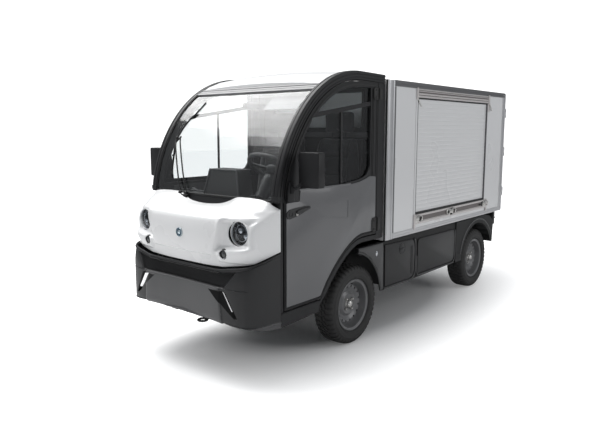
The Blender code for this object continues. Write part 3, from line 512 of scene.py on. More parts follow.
cap = turned("dust_cap", [(0.0180, 0), (0.0180, 0.0330), (0.0230, 0.0340), (0.0270, 0.0300),
                          (0.0400, 0.0285), (0.0470, 0.0240), (0.0505, 0.0140), (0.0515, 0)], 40)
hub = joined([cap, nuts], "hub")
valve = turned("valve", [(0.014, 0), (0.014, 0.005), (0.02, 0.005), (0.024, 0.003),
    (0.044, 0.0028), (0.0445, 0.0036), (0.054, 0.0036), (0.0545, 0)], 14, centre=(0, 0.03, 0.149))
for corner, side in (("front_left", 1), ("front_right", -1), ("rear_left", 1), ("rear_right", -1)):
    low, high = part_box("tyre_" + corner)
    spot = moved((side * WHEEL_X, (low[1] + high[1]) / 2, WHEEL_R))
    spot = spot @ (MIRROR if side < 0 else Matrix())
    spot = spot @ turned_by({"front_left": 9, "rear_left": 31}.get(corner, 0), "X")
    for model, label, material, slot, stands_for in (
        (tyre, "tyre_", tyre_rubber, "tyre", ("tyre_" + corner,)),
        (disc, "wheel_disc_", wheel_paint, "rim", ("rim_" + corner,)),
        (hub, "hub_", bright_steel, "rim", ()),
        (valve, "valve_", tyre_rubber, "tyre", ()),
    ):
        fitted(copied(model, label + corner + "_detail", spot), material, "wheel_" + corner,
               stands_for, 40)
discard(tyre, disc, hub, valve)


# ------------------------------------------------------------------ bonnet
# The nose panel is one glass-fibre moulding in white paint: a proud middle with soft flanks, a
# scooped pocket round each lamp and a turned-under lower edge. It is screwed to the cowl.
def smooth_curve(values, count):
    """A smooth run of points through the given ones, evenly spread by their own number."""
    values = np.asarray(values, float)
    padded = np.concatenate((2 * values[:1] - values[1:2], values,
                             2 * values[-1:] - values[-2:-1]))
    where = np.linspace(0, len(values) - 1, count)
    index = np.minimum(where.astype(int), len(values) - 2)
    t = (where - index).reshape((-1,) + (1,) * (values.ndim - 1))
    a, b, c, d = (padded[index + k] for k in range(4))
    return 0.5 * (2 * b + (c - a) * t + (2 * a - 5 * b + 4 * c - d) * t ** 2
                  + (3 * b - a - 3 * c + d) * t ** 3)


def panel_surface(rows, across, up):
    """A dense grid of points (up, across, 3) through rows of half-width points."""
    full = [[(-x, y, z) for x, y, z in reversed(row[1:])] + list(row) for row in rows]
    grid = np.stack([smooth_curve(row, across) for row in full])
    return smooth_curve(grid, up)


def outward_of(grid):
    """The unit vector that leaves the front of a grid at each point."""
    along, rising = np.gradient(grid, axis=1), np.gradient(grid, axis=0)
    normal = np.cross(along, rising)
    return normal / np.maximum(np.linalg.norm(normal, axis=2, keepdims=True), 1e-9)


def step(value, start, end):
    """A smooth rise from 0 to 1 between two values."""
    share = np.clip((value - start) / (end - start), 0, 1)
    return share * share * (3 - 2 * share)


def grid_shell(name, grid, thickness, holes=(), gaps=None):
    """A sheet through a grid, given its wall inwards, with round holes or other gaps."""
    up, across = grid.shape[:2]
    points, inside = grid.reshape(-1, 3).copy(), np.zeros(up * across, int)
    for number, (x, z, radius) in enumerate(holes, 1):
        inside[np.hypot(points[:, 0] - x, points[:, 2] - z) < radius] = number
    faces = []
    for i in range(up - 1):
        for j in range(across - 1):
            face = (i * across + j, i * across + j + 1, (i + 1) * across + j + 1,
                    (i + 1) * across + j)
            if not all(inside[k] for k in face) and (gaps is None or not gaps[i, j]):
                faces.append(face)
                for k in face:
                    if inside[k]:
                        x, z, radius = holes[inside[k] - 1]
                        reach = max(math.hypot(points[k, 0] - x, points[k, 2] - z), 1e-6)
                        points[k, 0] = x + (points[k, 0] - x) * radius / reach
                        points[k, 2] = z + (points[k, 2] - z) * radius / reach
    used = sorted({k for face in faces for k in face})
    number_of = {k: number for number, k in enumerate(used)}
    piece = mesh_piece(name, points[used], faces=[[number_of[k] for k in face] for face in faces])
    return shaped(piece, "SOLIDIFY", thickness=thickness, offset=-1)


LAMP_X, LAMP_Z, LAMP_R = 0.448, 0.921, 0.072
PANEL_END = -0.82
xs = (0.0, 0.2, 0.33, 0.43, 0.5, 0.545, 0.575, 0.599)
nose_rows = (
    (xs, (-1.058, -1.055, -1.047, -1.034, -1.015, -0.983, -0.905, PANEL_END),
     (0.711, 0.711, 0.716, 0.730, 0.741, 0.752, 0.777, 0.804)),
    (xs, (-1.064, -1.060, -1.052, -1.040, -1.020, -0.986, -0.906, PANEL_END),
     (0.750, 0.750, 0.755, 0.764, 0.772, 0.782, 0.802, 0.826)),
    (xs, (-1.073, -1.069, -1.060, -1.050, -1.036, -1.003, -0.914, PANEL_END),
     (0.800, 0.800, 0.800, 0.804, 0.812, 0.822, 0.838, 0.856)),
    (xs, (-1.078, -1.074, -1.064, -1.052, -1.039, -1.006, -0.916, PANEL_END),
     (0.860, 0.860, 0.860, 0.862, 0.866, 0.872, 0.884, 0.896)),
    (xs, (-1.076, -1.072, -1.062, -1.050, -1.037, -1.004, -0.914, PANEL_END),
     (0.930, 0.930, 0.930, 0.930, 0.930, 0.932, 0.944, 0.960)),
    (xs, (-1.066, -1.063, -1.055, -1.043, -1.027, -0.992, -0.908, PANEL_END),
     (0.982, 0.982, 0.982, 0.980, 0.976, 0.972, 1.000, 1.030)),
    (xs, (-1.052, -1.050, -1.043, -1.030, -1.010, -0.974, -0.898, PANEL_END),
     (1.004, 1.004, 1.004, 1.001, 0.996, 0.990, 1.020, 1.052)),
    ((0.0, 0.18, 0.30, 0.39, 0.47, 0.530, 0.570, 0.595),
     (-1.020, -1.018, -1.010, -0.998, -0.975, -0.945, -0.886, PANEL_END),
     (1.018, 1.019, 1.022, 1.026, 1.028, 1.023, 1.038, 1.056)),
    ((0.0, 0.16, 0.26, 0.34, 0.44, 0.52, 0.565, 0.588),
     (-0.970, -0.968, -0.962, -0.955, -0.940, -0.920, -0.872, -0.823),
     (1.034, 1.036, 1.046, 1.060, 1.062, 1.052, 1.052, 1.058)),
    ((0.0, 0.145, 0.232, 0.305, 0.40, 0.49, 0.545, 0.566),
     (-0.922, -0.918, -0.912, -0.905, -0.895, -0.885, -0.866, -0.840),
     (1.046, 1.050, 1.064, 1.088, 1.092, 1.084, 1.078, 1.074)),
    ((0.0, 0.13, 0.205, 0.27, 0.36, 0.46, 0.525, 0.545),
     (-0.878, -0.869, -0.859, -0.849, -0.849, -0.853, -0.858, -0.858),
     (1.052, 1.060, 1.080, 1.106, 1.110, 1.107, 1.099, 1.090)),
)
nose = panel_surface([[(x, behind(d), z) for x, d, z in zip(*row)] for row in nose_rows], 261, 181)
x, d, z = np.abs(nose[..., 0]), nose[..., 1] - behind(0), nose[..., 2]
flank = 0.262 + (z - 0.75) * 0.3
middle = (1 - step(x, flank, flank + 0.034)) * step(z, 0.776, 0.788) * (1 - step(z, 0.975, 1.03))
front = (1 - step(z, 0.985, 1.035)) * (1 - step(x, 0.535, 0.572))
pocket = step(x, flank + 0.004, flank + 0.046) * (1 - step(x, 0.514, 0.556)) \
    * step(z, 0.822 + (x - 0.45) * 0.12, 0.85 + (x - 0.45) * 0.12) * (1 - step(z, 0.984, 1.014))
chin = step(z, 0.742, 0.757) * (1 - step(z, 0.995, 1.02)) * step(x, 0.3, 0.335) \
    * (1 - step(x, 0.52, 0.56))
push = 0.01 * middle - 0.038 * pocket + 0.009 * chin - 0.004 * (1 - step(z, 0.772, 0.79)) \
    * (1 - step(x, 0.3, 0.34))
nose = nose + outward_of(nose) * push[..., None]
nose[..., 1] = np.maximum(nose[..., 1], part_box("bonnet")[0][1] - 0.006)
bonnet_panel = grid_shell("bonnet_panel", nose, 0.005, [
    (side * x, z, radius) for side in (1, -1)
    for x, z, radius in ((LAMP_X, LAMP_Z, LAMP_R + 0.001), (0.364, 0.797, 0.0305))
])
fitted(bonnet_panel, white_paint, "body", ("bonnet",), 40)

badge_at = (0, behind(-1.085), 0.892)
badge = turned("nose_badge", [(0.004, 0), (0.004, 0.029), (-0.004, 0.029), (-0.006, 0.0275),
    (-0.0055, 0.011), (-0.0065, 0)], 40, centre=badge_at, axis=(0, 1, 0))
badge_enamel = grained_finish("badge_enamel", (0.010, 0.045, 0.075), (0.016, 0.085, 0.130), 0.2,
                              coat=0.6, patch=45, grain_size=300, strength=0.1)
fitted(badge, badge_enamel, "body")
badge_metal = grained_finish("badge_metal", (0.55, 0.66, 0.72), (0.70, 0.78, 0.82), 0.2,
                             metallic=0.9, patch=45, grain_size=300, strength=0.1)
trims = [turned("badge_ring", [(-0.005, 0.0262), (-0.0085, 0.0268), (-0.0085, 0.0282),
    (-0.005, 0.029)], 40, centre=badge_at, axis=(0, 1, 0)), turned("badge_boss",
    [(-0.005, 0.011), (-0.0085, 0.0095), (-0.01, 0.004), (-0.0104, 0)], 32, centre=badge_at,
    axis=(0, 1, 0), closed=False)]
fitted(joined(trims, "badge_ring"), badge_metal, "body", smooth=50)

# ------------------------------------------------------------------ headlamps
# Two round lamps and two small round turn lamps below them: a pressed reflector, a dark inner
# ring with a bulb shade and a low-beam lens, and a clear outer glass in a thin bezel.
lamp_chrome = grained_finish("lamp_chrome", (0.62, 0.64, 0.66), (0.40, 0.41, 0.43), 0.12, 0.1,
                             metallic=1.0, patch=28, grain_size=220, depth=0.0008, strength=0.3)
lamp_dark = grained_finish("lamp_dark", (0.020, 0.021, 0.022), (0.060, 0.062, 0.064), 0.25, 0.2,
                           metallic=0.6, coat=0.6, patch=38, grain_size=400, strength=0.2)
lamp_bowl = grained_finish("lamp_bowl", (0.002, 0.002, 0.003), (0.10, 0.105, 0.11), 0.16, 0.2,
                           metallic=1.0, patch=55, grain_size=160, depth=0.002, strength=0.6)
lamp_glass = glazing("lamp_glass", (0.93, 0.94, 0.95), 0.06, 1.3)
LAMP_D = -1.008
lamp_at = (LAMP_X, behind(LAMP_D), LAMP_Z)
shell = turned("lamp_shell", [(0.012, 0.072), (0.073, 0.07), (0.073, 0), (0.07, 0), (0.069, 0.024),
    (0.058, 0.042), (0.04, 0.058), (0.012, 0.069)], 56, centre=lamp_at, axis=(0, 1, 0))
both_sides(shell, "lamp_reflector", lamp_bowl, stands_for="headlight")
inner = [turned("lamp_ring", [(0.02, 0.044), (0.014, 0.047), (0.016, 0.051), (0.03, 0.053),
    (0.034, 0.048), (0.032, 0.045)], 48, centre=lamp_at, axis=(0, 1, 0)),
    turned("lamp_shade", [(0.06, 0), (0.06, 0.015), (0.03, 0.019), (0.022, 0.017), (0.018, 0.01),
    (0.0165, 0)], 36, centre=(LAMP_X - 0.016, behind(LAMP_D), LAMP_Z + 0.012), axis=(0, 1, 0)),
    turned("lamp_eye", [(0.06, 0), (0.06, 0.012), (0.026, 0.0145), (0.018, 0.012), (0.014, 0)], 32,
    centre=(LAMP_X + 0.028, behind(LAMP_D), LAMP_Z - 0.018), axis=(0, 1, 0))]
for k in range(5):
    rib = bar("lamp_rib", (LAMP_X - 0.0015, behind(LAMP_D + 0.016), LAMP_Z + 0.046),
              (LAMP_X + 0.0015, behind(LAMP_D + 0.050), LAMP_Z + 0.066), 0.0006, 1)
    inner.append(put(rib, turned_by(-62 + 31 * k, "Y", lamp_at)))
both_sides(inner, "lamp_inner", lamp_chrome)
glass = turned("lamp_glass", [(0.01, 0.07), (-0.001, 0.067), (-0.009, 0.05), (-0.014, 0.026),
    (-0.0155, 0), (-0.013, 0), (-0.0115, 0.026), (-0.0065, 0.05), (0.001, 0.065), (0.011, 0.068)],
    56, centre=lamp_at, axis=(0, 1, 0), closed=False)
both_sides(glass, "lamp_cover", lamp_glass)
bezel = turned("lamp_bezel", [(0.013, 0.07), (0.0, 0.069), (-0.003, 0.071), (-0.002, 0.0745),
    (0.016, 0.075)], 56, centre=lamp_at, axis=(0, 1, 0))
both_sides(bezel, "lamp_bezel", white_paint)
small = turned("turn_lamp", [(0.03, 0), (0.03, 0.03), (-0.0015, 0.0325), (-0.005, 0.031),
    (-0.0035, 0.028), (0.001, 0.0265), (0.0005, 0.018), (-0.003, 0.0165), (-0.0035, 0.006),
    (-0.006, 0)], 40, centre=(0.364, behind(-1.055), 0.797), axis=(0, 1, 0))
both_sides(small, "turn_lamp", lamp_dark)

# ------------------------------------------------------------------ bumper
# One charcoal moulding bolted to the frame: a proud middle panel under a recessed band, a
# ledge along its top, a slotted scoop in each corner, and a lower lip that runs on as the sill.
# The band and the scoops are near black: painted shade in the recesses.
bumper_plastic = grained_finish("bumper_plastic", (0.050, 0.050, 0.052), (0.060, 0.060, 0.062),
                                0.44, 0.1, coat=0.15, patch=2.5, grain_size=900, depth=0.0003,
                                strength=0.3)
bumper_black = grained_finish("bumper_black", (0.019, 0.019, 0.020), (0.025, 0.025, 0.026), 0.44,
                              0.1, patch=2.5, grain_size=900, depth=0.0003, strength=0.3,
                              gloss=0.35)
# A near-black copy of the bumper plastic: painted shade for the recessed band and the scoops.
bumper_painted_shade = grained_finish("bumper_painted_shade", (0.005, 0.005, 0.0053), (0.008, 0.008, 0.0085), 0.5,
                              0.1, patch=2.5, grain_size=900, strength=0.2, gloss=0.2)
xs = (0.0, 0.2, 0.33, 0.42, 0.5, 0.555, 0.585, 0.599)
bumper_rows = (
    (xs, (-1.066, -1.070, -1.076, -1.074, -1.058, -1.022, -0.928, PANEL_END),
     (0.386, 0.390, 0.388, 0.379, 0.372, 0.362, 0.346, 0.338)),
    (xs, (-1.080, -1.086, -1.092, -1.090, -1.076, -1.042, -0.938, PANEL_END),
     (0.398, 0.402, 0.400, 0.392, 0.386, 0.378, 0.362, 0.352)),
    (xs, (-1.083, -1.089, -1.095, -1.092, -1.078, -1.044, -0.938, PANEL_END),
     (0.450, 0.450, 0.450, 0.448, 0.446, 0.444, 0.442, 0.440)),
    (xs, (-1.085, -1.091, -1.097, -1.094, -1.079, -1.044, -0.938, PANEL_END),
     (0.530, 0.530, 0.530, 0.530, 0.530, 0.530, 0.530, 0.530)),
    (xs, (-1.084, -1.090, -1.096, -1.094, -1.078, -1.044, -0.938, PANEL_END),
     (0.602, 0.602, 0.602, 0.602, 0.602, 0.602, 0.604, 0.606)),
    (xs, (-1.074, -1.080, -1.087, -1.086, -1.074, -1.041, -0.937, PANEL_END),
     (0.650, 0.650, 0.651, 0.658, 0.664, 0.672, 0.690, 0.706)),
    (xs, (-1.066, -1.070, -1.074, -1.068, -1.058, -1.028, -0.932, PANEL_END),
     (0.696, 0.696, 0.700, 0.714, 0.726, 0.738, 0.763, 0.790)),
    (xs, (-1.052, -1.056, -1.060, -1.054, -1.044, -1.014, -0.924, PANEL_END),
     (0.700, 0.700, 0.704, 0.718, 0.730, 0.742, 0.766, 0.794)),
)
front_skin = panel_surface([[(x, behind(d), z) for x, d, z in zip(*row)] for row in bumper_rows],
                           301, 151)
SCOOP_LOW, SCOOP_TOP, BAND_LOW = 0.428, 0.584, 0.602


def scoop_edges(z):
    """How far the inner and outer edge of a corner scoop are from the middle at a height."""
    fall = np.clip((SCOOP_TOP - z) / (SCOOP_TOP - SCOOP_LOW), 0, 1)
    return 0.258 + fall * 0.205, 0.392 + fall * 0.092


def panel_edge(z):
    """How far the side of the proud middle panel is from the middle at a height."""
    return 0.338 + (0.6 - z) * 0.1


def ledge(x):
    """The height of the bumper's top edge."""
    return np.interp(x, xs, bumper_rows[6][2])


# The columns of the grid follow the edges of the middle panel and the scoop, which stay crisp.
for line in front_skin:
    near, far = scoop_edges(line[150, 2])
    first, second = sorted((near, panel_edge(line[150, 2])))
    spans = ((0, first, 40), (first, second, 22), (second, far, 26), (far, far + 0.006, 5))
    half = np.concatenate([np.linspace(start, end, count, endpoint=False)
                           for start, end, count in spans]
                          + [np.linspace(far + 0.006, line[-1, 0], 58)])
    target = np.concatenate((-half[:0:-1], half))
    line[:, 1], line[:, 2] = (np.interp(target, line[:, 0], line[:, k]) for k in (1, 2))
    line[:, 0] = target
x, d, z = np.abs(front_skin[..., 0]), front_skin[..., 1] - behind(0), front_skin[..., 2]
top_edge, (near, far) = ledge(x), scoop_edges(z)
corner = step(x, panel_edge(z), panel_edge(z) + 0.022)
band_end = 0.372 + (z - BAND_LOW) * 0.8
band = step(z, BAND_LOW - 0.004, BAND_LOW + 0.004) * (1 - step(x, band_end, band_end + 0.024)) \
    * (1 - step(z, top_edge - 0.022, top_edge - 0.014))
groove = np.exp(-((z - top_edge + 0.01) / 0.0022) ** 2) * (1 - step(x, 0.585, 0.599))
scoop = np.clip((x - near) / (far - near), 0, 1) * (1 - step(x, far, far + 0.006)) \
    * step(z, 0.424, 0.436) * (1 - step(z, 0.576, 0.586))
lip = np.exp(-((z - 0.372 - (0.599 - x) * 0.05) / 0.006) ** 2)
seam = np.exp(-((z - 0.5995) / 0.0018) ** 2) * step(x, 0.36, 0.38) * (1 - step(x, 0.54, 0.56))
push = -0.022 * band - 0.006 * groove - 0.009 * corner * (1 - band) \
    * (1 - step(x, 0.545, 0.59)) * (1 - step(z, top_edge - 0.014, top_edge - 0.008)) \
    - 0.028 * scoop - 0.003 * seam + 0.007 * lip
front_skin = front_skin + outward_of(front_skin) * push[..., None]
bumper_shell = grid_shell("bumper_shell", front_skin, 0.006)
for material in (bumper_plastic, bumper_black, bumper_painted_shade):
    bumper_shell.data.materials.append(material)
# Faces in the recessed band and in the scoops take the near-black painted shade (third slot).
for face in bumper_shell.data.polygons:
    x, z = abs(face.center.x), face.center.z
    near, far = scoop_edges(z)
    in_band = BAND_LOW < z < ledge(x) - 0.016 and x < 0.386 + (z - BAND_LOW) * 0.8
    if in_band or near < x < far + 0.002 and SCOOP_LOW < z < SCOOP_TOP - 0.002:
        face.material_index = 2
    elif z > 0.376 and (x > panel_edge(z) + 0.011 or z > BAND_LOW):
        face.material_index = 1
fitted(bumper_shell, None, "body", ("bumper",), 34)
# The marker strip glows softly so that it stays white in the shade of the scoop: painted light.
marker_white_glow = grained_finish("marker_white_glow", (0.80, 0.81, 0.82), (0.86, 0.87, 0.88), 0.2,
                              coat=1.0, patch=30, grain_size=500, strength=0.1)
set_inputs(marker_white_glow.node_tree.nodes["Principled BSDF"], Emission_Color=(1, 1, 1, 1),
           Emission_Strength=0.5)
strip = plate("marker_strip", [(0.345, behind(-1.06), 0.574), (0.382, behind(-1.082), 0.572),
    (0.45, behind(-1.079), 0.47), (0.438, behind(-1.072), 0.466)], (0, 0.005, 0), 0.001, 1)
both_sides(strip, "marker_strip", marker_white_glow)

# ------------------------------------------------------------------ cab arches
# Two black ribbed mouldings over steel tube follow the roof line from the bonnet to the rear of
# the cab and stand on a straight leg beside the bumper. They are bolted to the cab floor.
arch_plastic = grained_finish("arch_plastic", (0.010, 0.010, 0.011), (0.016, 0.016, 0.017), 0.46,
                              0.1, patch=6, grain_size=900, strength=0.15, gloss=0.35)


def bezier(a, b, c, d, steps):
    """Points along a cubic curve from a to d, which b and c pull towards themselves."""
    t = np.linspace(0, 1, steps)[:, None]
    a, b, c, d = (np.array(point, float) for point in (a, b, c, d))
    return a * (1 - t) ** 3 + 3 * b * (1 - t) ** 2 * t + 3 * c * (1 - t) * t ** 2 + d * t ** 3


def offset_line(points, distance):
    """An open line moved to the left of its own direction."""
    points = np.array(points, float)
    along = np.gradient(points, axis=0)
    along /= np.linalg.norm(along, axis=1, keepdims=True)
    return points + distance * np.stack((-along[:, 1], along[:, 0]), axis=1)


def roof_curve(inset=0.0, steps=56):
    """The cab's side outline from foot to rear as (distance, height) pairs, moved inwards."""
    line = bezier((-0.85, 1.08), (-0.85, 1.33), (-0.605, 1.91), (0.0, 1.91), steps)
    line = np.vstack((line, [(0.1, 1.9085), (0.2, 1.9068), (0.3, 1.905)]))
    return offset_line(line, -inset)


def curved_rail(name, section, first=0, last=None, steps=56):
    """Sweeps a closed (x, inset) section along the roof line and closes its two ends."""
    lines = [roof_curve(inset, steps)[first:last] for _, inset in section]
    count, size = len(lines[0]), len(section)
    points = [(section[j][0], behind(lines[j][i][0]), lines[j][i][1])
              for i in range(count) for j in range(size)]
    faces = [(i * size + j, i * size + (j + 1) % size, (i + 1) * size + (j + 1) % size,
              (i + 1) * size + j) for i in range(count - 1) for j in range(size)]
    faces += [tuple(range(size)), tuple(range((count - 1) * size, count * size))]
    return tidy_mesh(mesh_piece(name, points, faces=faces))


arch_section = [(0.549, 0.012), (0.549, 0.005), (0.551, 0.0018), (0.557, 0.0004), (0.568, 0.0002),
    (0.57, 0.0035), (0.5735, 0.0035), (0.5755, 0.0002), (0.586, 0.0008), (0.594, 0.003),
    (0.5985, 0.008), (0.5995, 0.014), (0.5993, 0.021), (0.5955, 0.0225), (0.5955, 0.0275),
    (0.5993, 0.029), (0.5993, 0.041), (0.5955, 0.0425), (0.5955, 0.0475), (0.5993, 0.049),
    (0.599, 0.059), (0.596, 0.0615), (0.556, 0.0615), (0.5495, 0.058)]
arch = curved_rail("arch_rail", arch_section, first=1)
leg = plate("arch_leg", [(0.552, behind(-0.797), z) for z in (0.428, 1.104)]
            + [(0.552, behind(-0.8185), z) for z in (1.104, 0.428)], (0.0465, 0, 0), 0.003)
foot = plate("arch_foot", [(0.551, behind(d), z) for d, z in (
    (-0.8485, 1.104), (-0.8485, 1.1300), (-0.7900, 1.1300), (-0.7900, 1.104))],
    (0.0475, 0, 0), 0.002)
both_sides([arch, leg, foot], "arch_rail", arch_plastic, stands_for="cab_arch")
seal = curved_rail("arch_seal", [(0.5470, 0.0105), (0.5440, 0.0100), (0.5430, 0.0075),
                                 (0.5450, 0.0060), (0.5486, 0.0062), (0.5486, 0.0110)], 2, 42)
window_rubber = grained_finish("window_rubber", (0.010, 0.010, 0.010), (0.018, 0.018, 0.018), 0.62,
                               patch=10, grain_size=1200, strength=0.3)
door_gap = curved_rail("arch_seal", [(0.5640, 0.0595), (0.5640, 0.0655), (0.5920, 0.0655),
                                     (0.5920, 0.0595)], 1)
both_sides([seal, door_gap], "arch_seal", window_rubber)

# ------------------------------------------------------------------ roof and windscreen header
# The white roof skin is moulded with its crown; a pressed header joins it to the windscreen in
# three steps, and a rubber strip holds the windscreen's lower edge in the black cowl.
def across_plate(name, outline, half, bevel=0.0):
    """A (distance, height) outline drawn out across the whole cab."""
    return plate(name, [(-half, behind(d), z) for d, z in outline], (2 * half, 0, 0), bevel)


header_top = [point for point in roof_curve(0.008, 200) if -0.455 <= point[0] <= -0.387]
steps_out = []
for first, last, lift in ((0.0, 0.30, 0.0055), (0.30, 0.38, -0.003), (0.38, 0.66, 0.0035),
                          (0.66, 0.74, -0.003), (0.74, 1.0, 0.0045)):
    count = len(header_top)
    upper = header_top[int(first * count):int(last * count) + 1]
    upper = [(d - lift * 0.55, z + lift * 0.83) for d, z in upper]
    lower = [(d + 0.016, z - 0.022) for d, z in reversed(upper)]
    steps_out.append(across_plate("header_step", upper + lower, 0.5465))
fitted(joined(steps_out, "header_trim"), header_paint, "body", ("windscreen_header",),
       30)
cowl_strip = across_plate("windscreen_strip", [
    (-0.8445, 1.0935), (-0.8465, 1.1040), (-0.8425, 1.1085), (-0.8385, 1.1065), (-0.8375, 1.0935)],
    0.5440, 0.0015)
fitted(cowl_strip, window_rubber, "body")

# ------------------------------------------------------------------ wiper
# A twin-arm wiper parked beside the right arch: a cast base on the cowl, two parallel tube arms
# and a long blade whose rubber follows the curve of the screen. It has no joint here.
def tube(name, points, radius, sides=10):
    """A round bar along points, smooth between them and closed at its ends."""
    curve = bpy.data.curves.new(name, "CURVE")
    curve.dimensions, curve.bevel_depth, curve.use_fill_caps = "3D", radius, True
    curve.bevel_resolution = max(1, sides // 4)
    line = curve.splines.new("POLY")
    line.points.add(len(points) - 1)
    for spot, point in zip(line.points, points):
        spot.co = (*point, 1)
    only(in_scene(name, curve))
    bpy.ops.object.convert(target="MESH")
    return tidy_mesh(bpy.context.object, 0.0001)


def smooth_path(points, count=24):
    """A smooth run of world points through the given ones."""
    return [Vector(point) for point in smooth_curve(np.array(points, float), count)]


wiper_black = grained_finish("wiper_black", (0.012, 0.012, 0.012), (0.020, 0.020, 0.020), 0.4, 0.1,
                             metallic=0.2, patch=30, grain_size=900, strength=0.2)
blade_line = [(-0.363, -0.536, 1.707), (-0.377, -0.609, 1.636), (-0.416, -0.66, 1.573),
    (-0.437, -0.708, 1.503), (-0.446, -0.747, 1.434), (-0.421, -0.787, 1.346),
    (-0.402, -0.818, 1.258), (-0.389, -0.834, 1.191)]
blade = smooth_path([(x, behind(d), z) for x, d, z in blade_line], 40)
arms = []
bulge = Vector((0, -0.012, 0.0036))
for bottom, top in (((-0.268, -0.854, 1.104), (-0.436, -0.752, 1.436)),
                    ((-0.212, -0.854, 1.104), (-0.404, -0.738, 1.464))):
    bottom, top = (Vector((x, behind(d), z)) for x, d, z in (bottom, top))
    arms.append(tube("wiper_arm", smooth_path([
        bottom, bottom.lerp(top, 0.10) + bulge * 0.5, bottom.lerp(top, 0.4) + bulge,
        bottom.lerp(top, 0.85) + bulge * 0.7, top], 20), 0.0052))
arms.append(tube("wiper_link", [(-0.446, behind(-0.748), 1.430),
                                (-0.398, behind(-0.736), 1.470)], 0.0062))
arms.append(tube("wiper_blade", blade, 0.0048))
arms.append(tube("wiper_rubber", [point + Vector((0, 0.0070, -0.0025)) for point in blade],
                 0.0026, 8))
for clip in blade[4::8]:
    arms.append(turned("wiper_clip", [(-0.009, 0), (-0.009, 0.0068), (0.009, 0.0068), (0.009, 0)],
                       12, centre=clip, axis=(1, 0, 0.2)))
for x in (-0.268, -0.212):
    arms.append(turned("wiper_pivot", [(-0.012, 0), (-0.012, 0.0105), (-0.004, 0.0125),
        (0.008, 0.0125), (0.012, 0.009), (0.012, 0)], 20, centre=(x, behind(-0.858), 1.102),
        axis=(0, -1, 0.25)))
arms.append(bar("wiper_base", (-0.285, behind(-0.872), 1.070), (-0.192, behind(-0.846), 1.094),
                0.006, 3))
fitted(joined(arms, "wiper"), wiper_black, "body", smooth=50)

# ------------------------------------------------------------------ doors
# Each door is a black frame with a grey painted skin bonded over it. The skin has a pocket; the
# frame carries rubber seals, a wedge handle and two strap hinges.
def side_plate(name, outline, inner, outer, bevel=0.002, segments=2):
    """A left-hand (distance, height) outline drawn out sideways."""
    return plate(name, [(inner, behind(d), z) for d, z in outline], (outer - inner, 0, 0), bevel,
                 segments)


def side_band(name, line, first, last, inner, outer, bevel=0.0008):
    """A strip between two offsets of a line, drawn out sideways."""
    outline = [*offset_line(line, first), *offset_line(line, last)[::-1]]
    return side_plate(name, outline, inner, outer, bevel, 1)


door_edge = [(-0.778, 0.4375), (-0.6, 0.4375), (-0.455, 0.4375)]
door_edge += [*bezier((-0.43, 0.455), (-0.352, 0.58), (-0.125, 0.785), (0.035, 0.786), 16)]
door_edge += [(0.11, 0.786), (0.196, 0.786)]
skin_low = [(-0.774, 0.455), (-0.451, 0.455)]
skin_low += [*bezier((-0.44, 0.462), (-0.362, 0.592), (-0.13, 0.802), (0.034, 0.804), 20)]
skin_low += [(0.184, 0.804)]
skin = side_plate("door_skin", skin_low + [(0.184, 1.182), (0.178, 1.19), (0.11, 1.196),
    (0.06, 1.181), (-0.02, 1.164), (-0.12, 1.155), (-0.2, 1.153), (-0.64, 1.153), (-0.648, 1.146),
    (-0.652, 1.094), (-0.66, 1.088), (-0.768, 1.088), (-0.774, 1.082)], 0.6003, 0.6062, 0.0016)
pocket = side_plate("pocket_cutter", [
    (-0.356, 0.958), (-0.150, 0.934), (-0.150, 1.052), (-0.236, 1.056), (-0.296, 1.028)],
    0.6040, 0.6300, 0.0)
skin = cut_out(skin, pocket)
both_sides(skin, "door_skin", door_paint, CAB_DOORS)
lower_seals = [side_band("door_seal", door_edge, 0.001, 0.005, 0.5990, 0.6035),
               side_band("door_seal", door_edge, 0.009, 0.012, 0.5990, 0.6022)]
lower_seals.append(side_band("door_seal", [(-0.7855, 0.440), (-0.7855, 0.80), (-0.7850, 1.10)],
                             -0.0045, -0.0005, 0.5990, 0.6030))
side_rails = []
for first, last, outer in ((0.065, 0.07, 0.6025), (0.076, 0.079, 0.6012), (0.087, 0.096, 0.6035)):
    upper, lower = roof_curve(first, 60), roof_curve(last, 60)
    upper, lower = ([p for p in line if p[0] < 0.205 and p[1] > 1.12] for line in (upper, lower))
    side_rails.append(side_plate("door_rail", upper + lower[::-1], 0.5985, outer, 0.0008, 1))
for d, width in ((0.134, 0.006), (0.152, 0.01), (0.192, 0.007)):
    side_rails.append(side_plate("door_rail", [(d, 1.200), (d + width, 1.200),
                                               (d + width, 1.800), (d, 1.800)],
                                 0.5985, 0.6030, 0.0010, 1))
both_sides(lower_seals + side_rails, "door_seals", window_rubber, CAB_DOORS)

sail = side_plate("mirror_sail", [(-0.776, 1.09), (-0.655, 1.09), (-0.652, 1.15), (-0.662, 1.3),
    (-0.676, 1.38), (-0.722, 1.3), (-0.755, 1.21), (-0.774, 1.13)], 0.599, 0.6045, 0.0015)
corner_fill = side_plate("window_corner", [(0.122, 1.15), (0.122, 1.3), (0.098, 1.24),
    (0.07, 1.208), (0.02, 1.19), (-0.06, 1.176), (-0.16, 1.167), (-0.16, 1.15)], 0.5895, 0.601,
    0.0012)
sill_trim = side_plate("window_trim", [
    (-0.655, 1.152), (-0.200, 1.152), (-0.120, 1.154), (-0.120, 1.163), (-0.655, 1.161)],
    0.5930, 0.6080, 0.0015)
post_trim = side_plate("window_post", [(0.112, 1.24), (0.124, 1.24), (0.124, 1.800),
                                       (0.112, 1.800)], 0.5900, 0.6030, 0.0010, 1)
divider = side_plate("window_divider", [(-0.226, 1.152), (-0.208, 1.152), (-0.208, 1.652),
                                        (-0.226, 1.650)], 0.5885, 0.5965, 0.0015)
both_sides([sail, corner_fill, post_trim, divider], "window_trim", arch_plastic,
           CAB_DOORS)
both_sides(sill_trim, "window_sill", door_paint, CAB_DOORS)

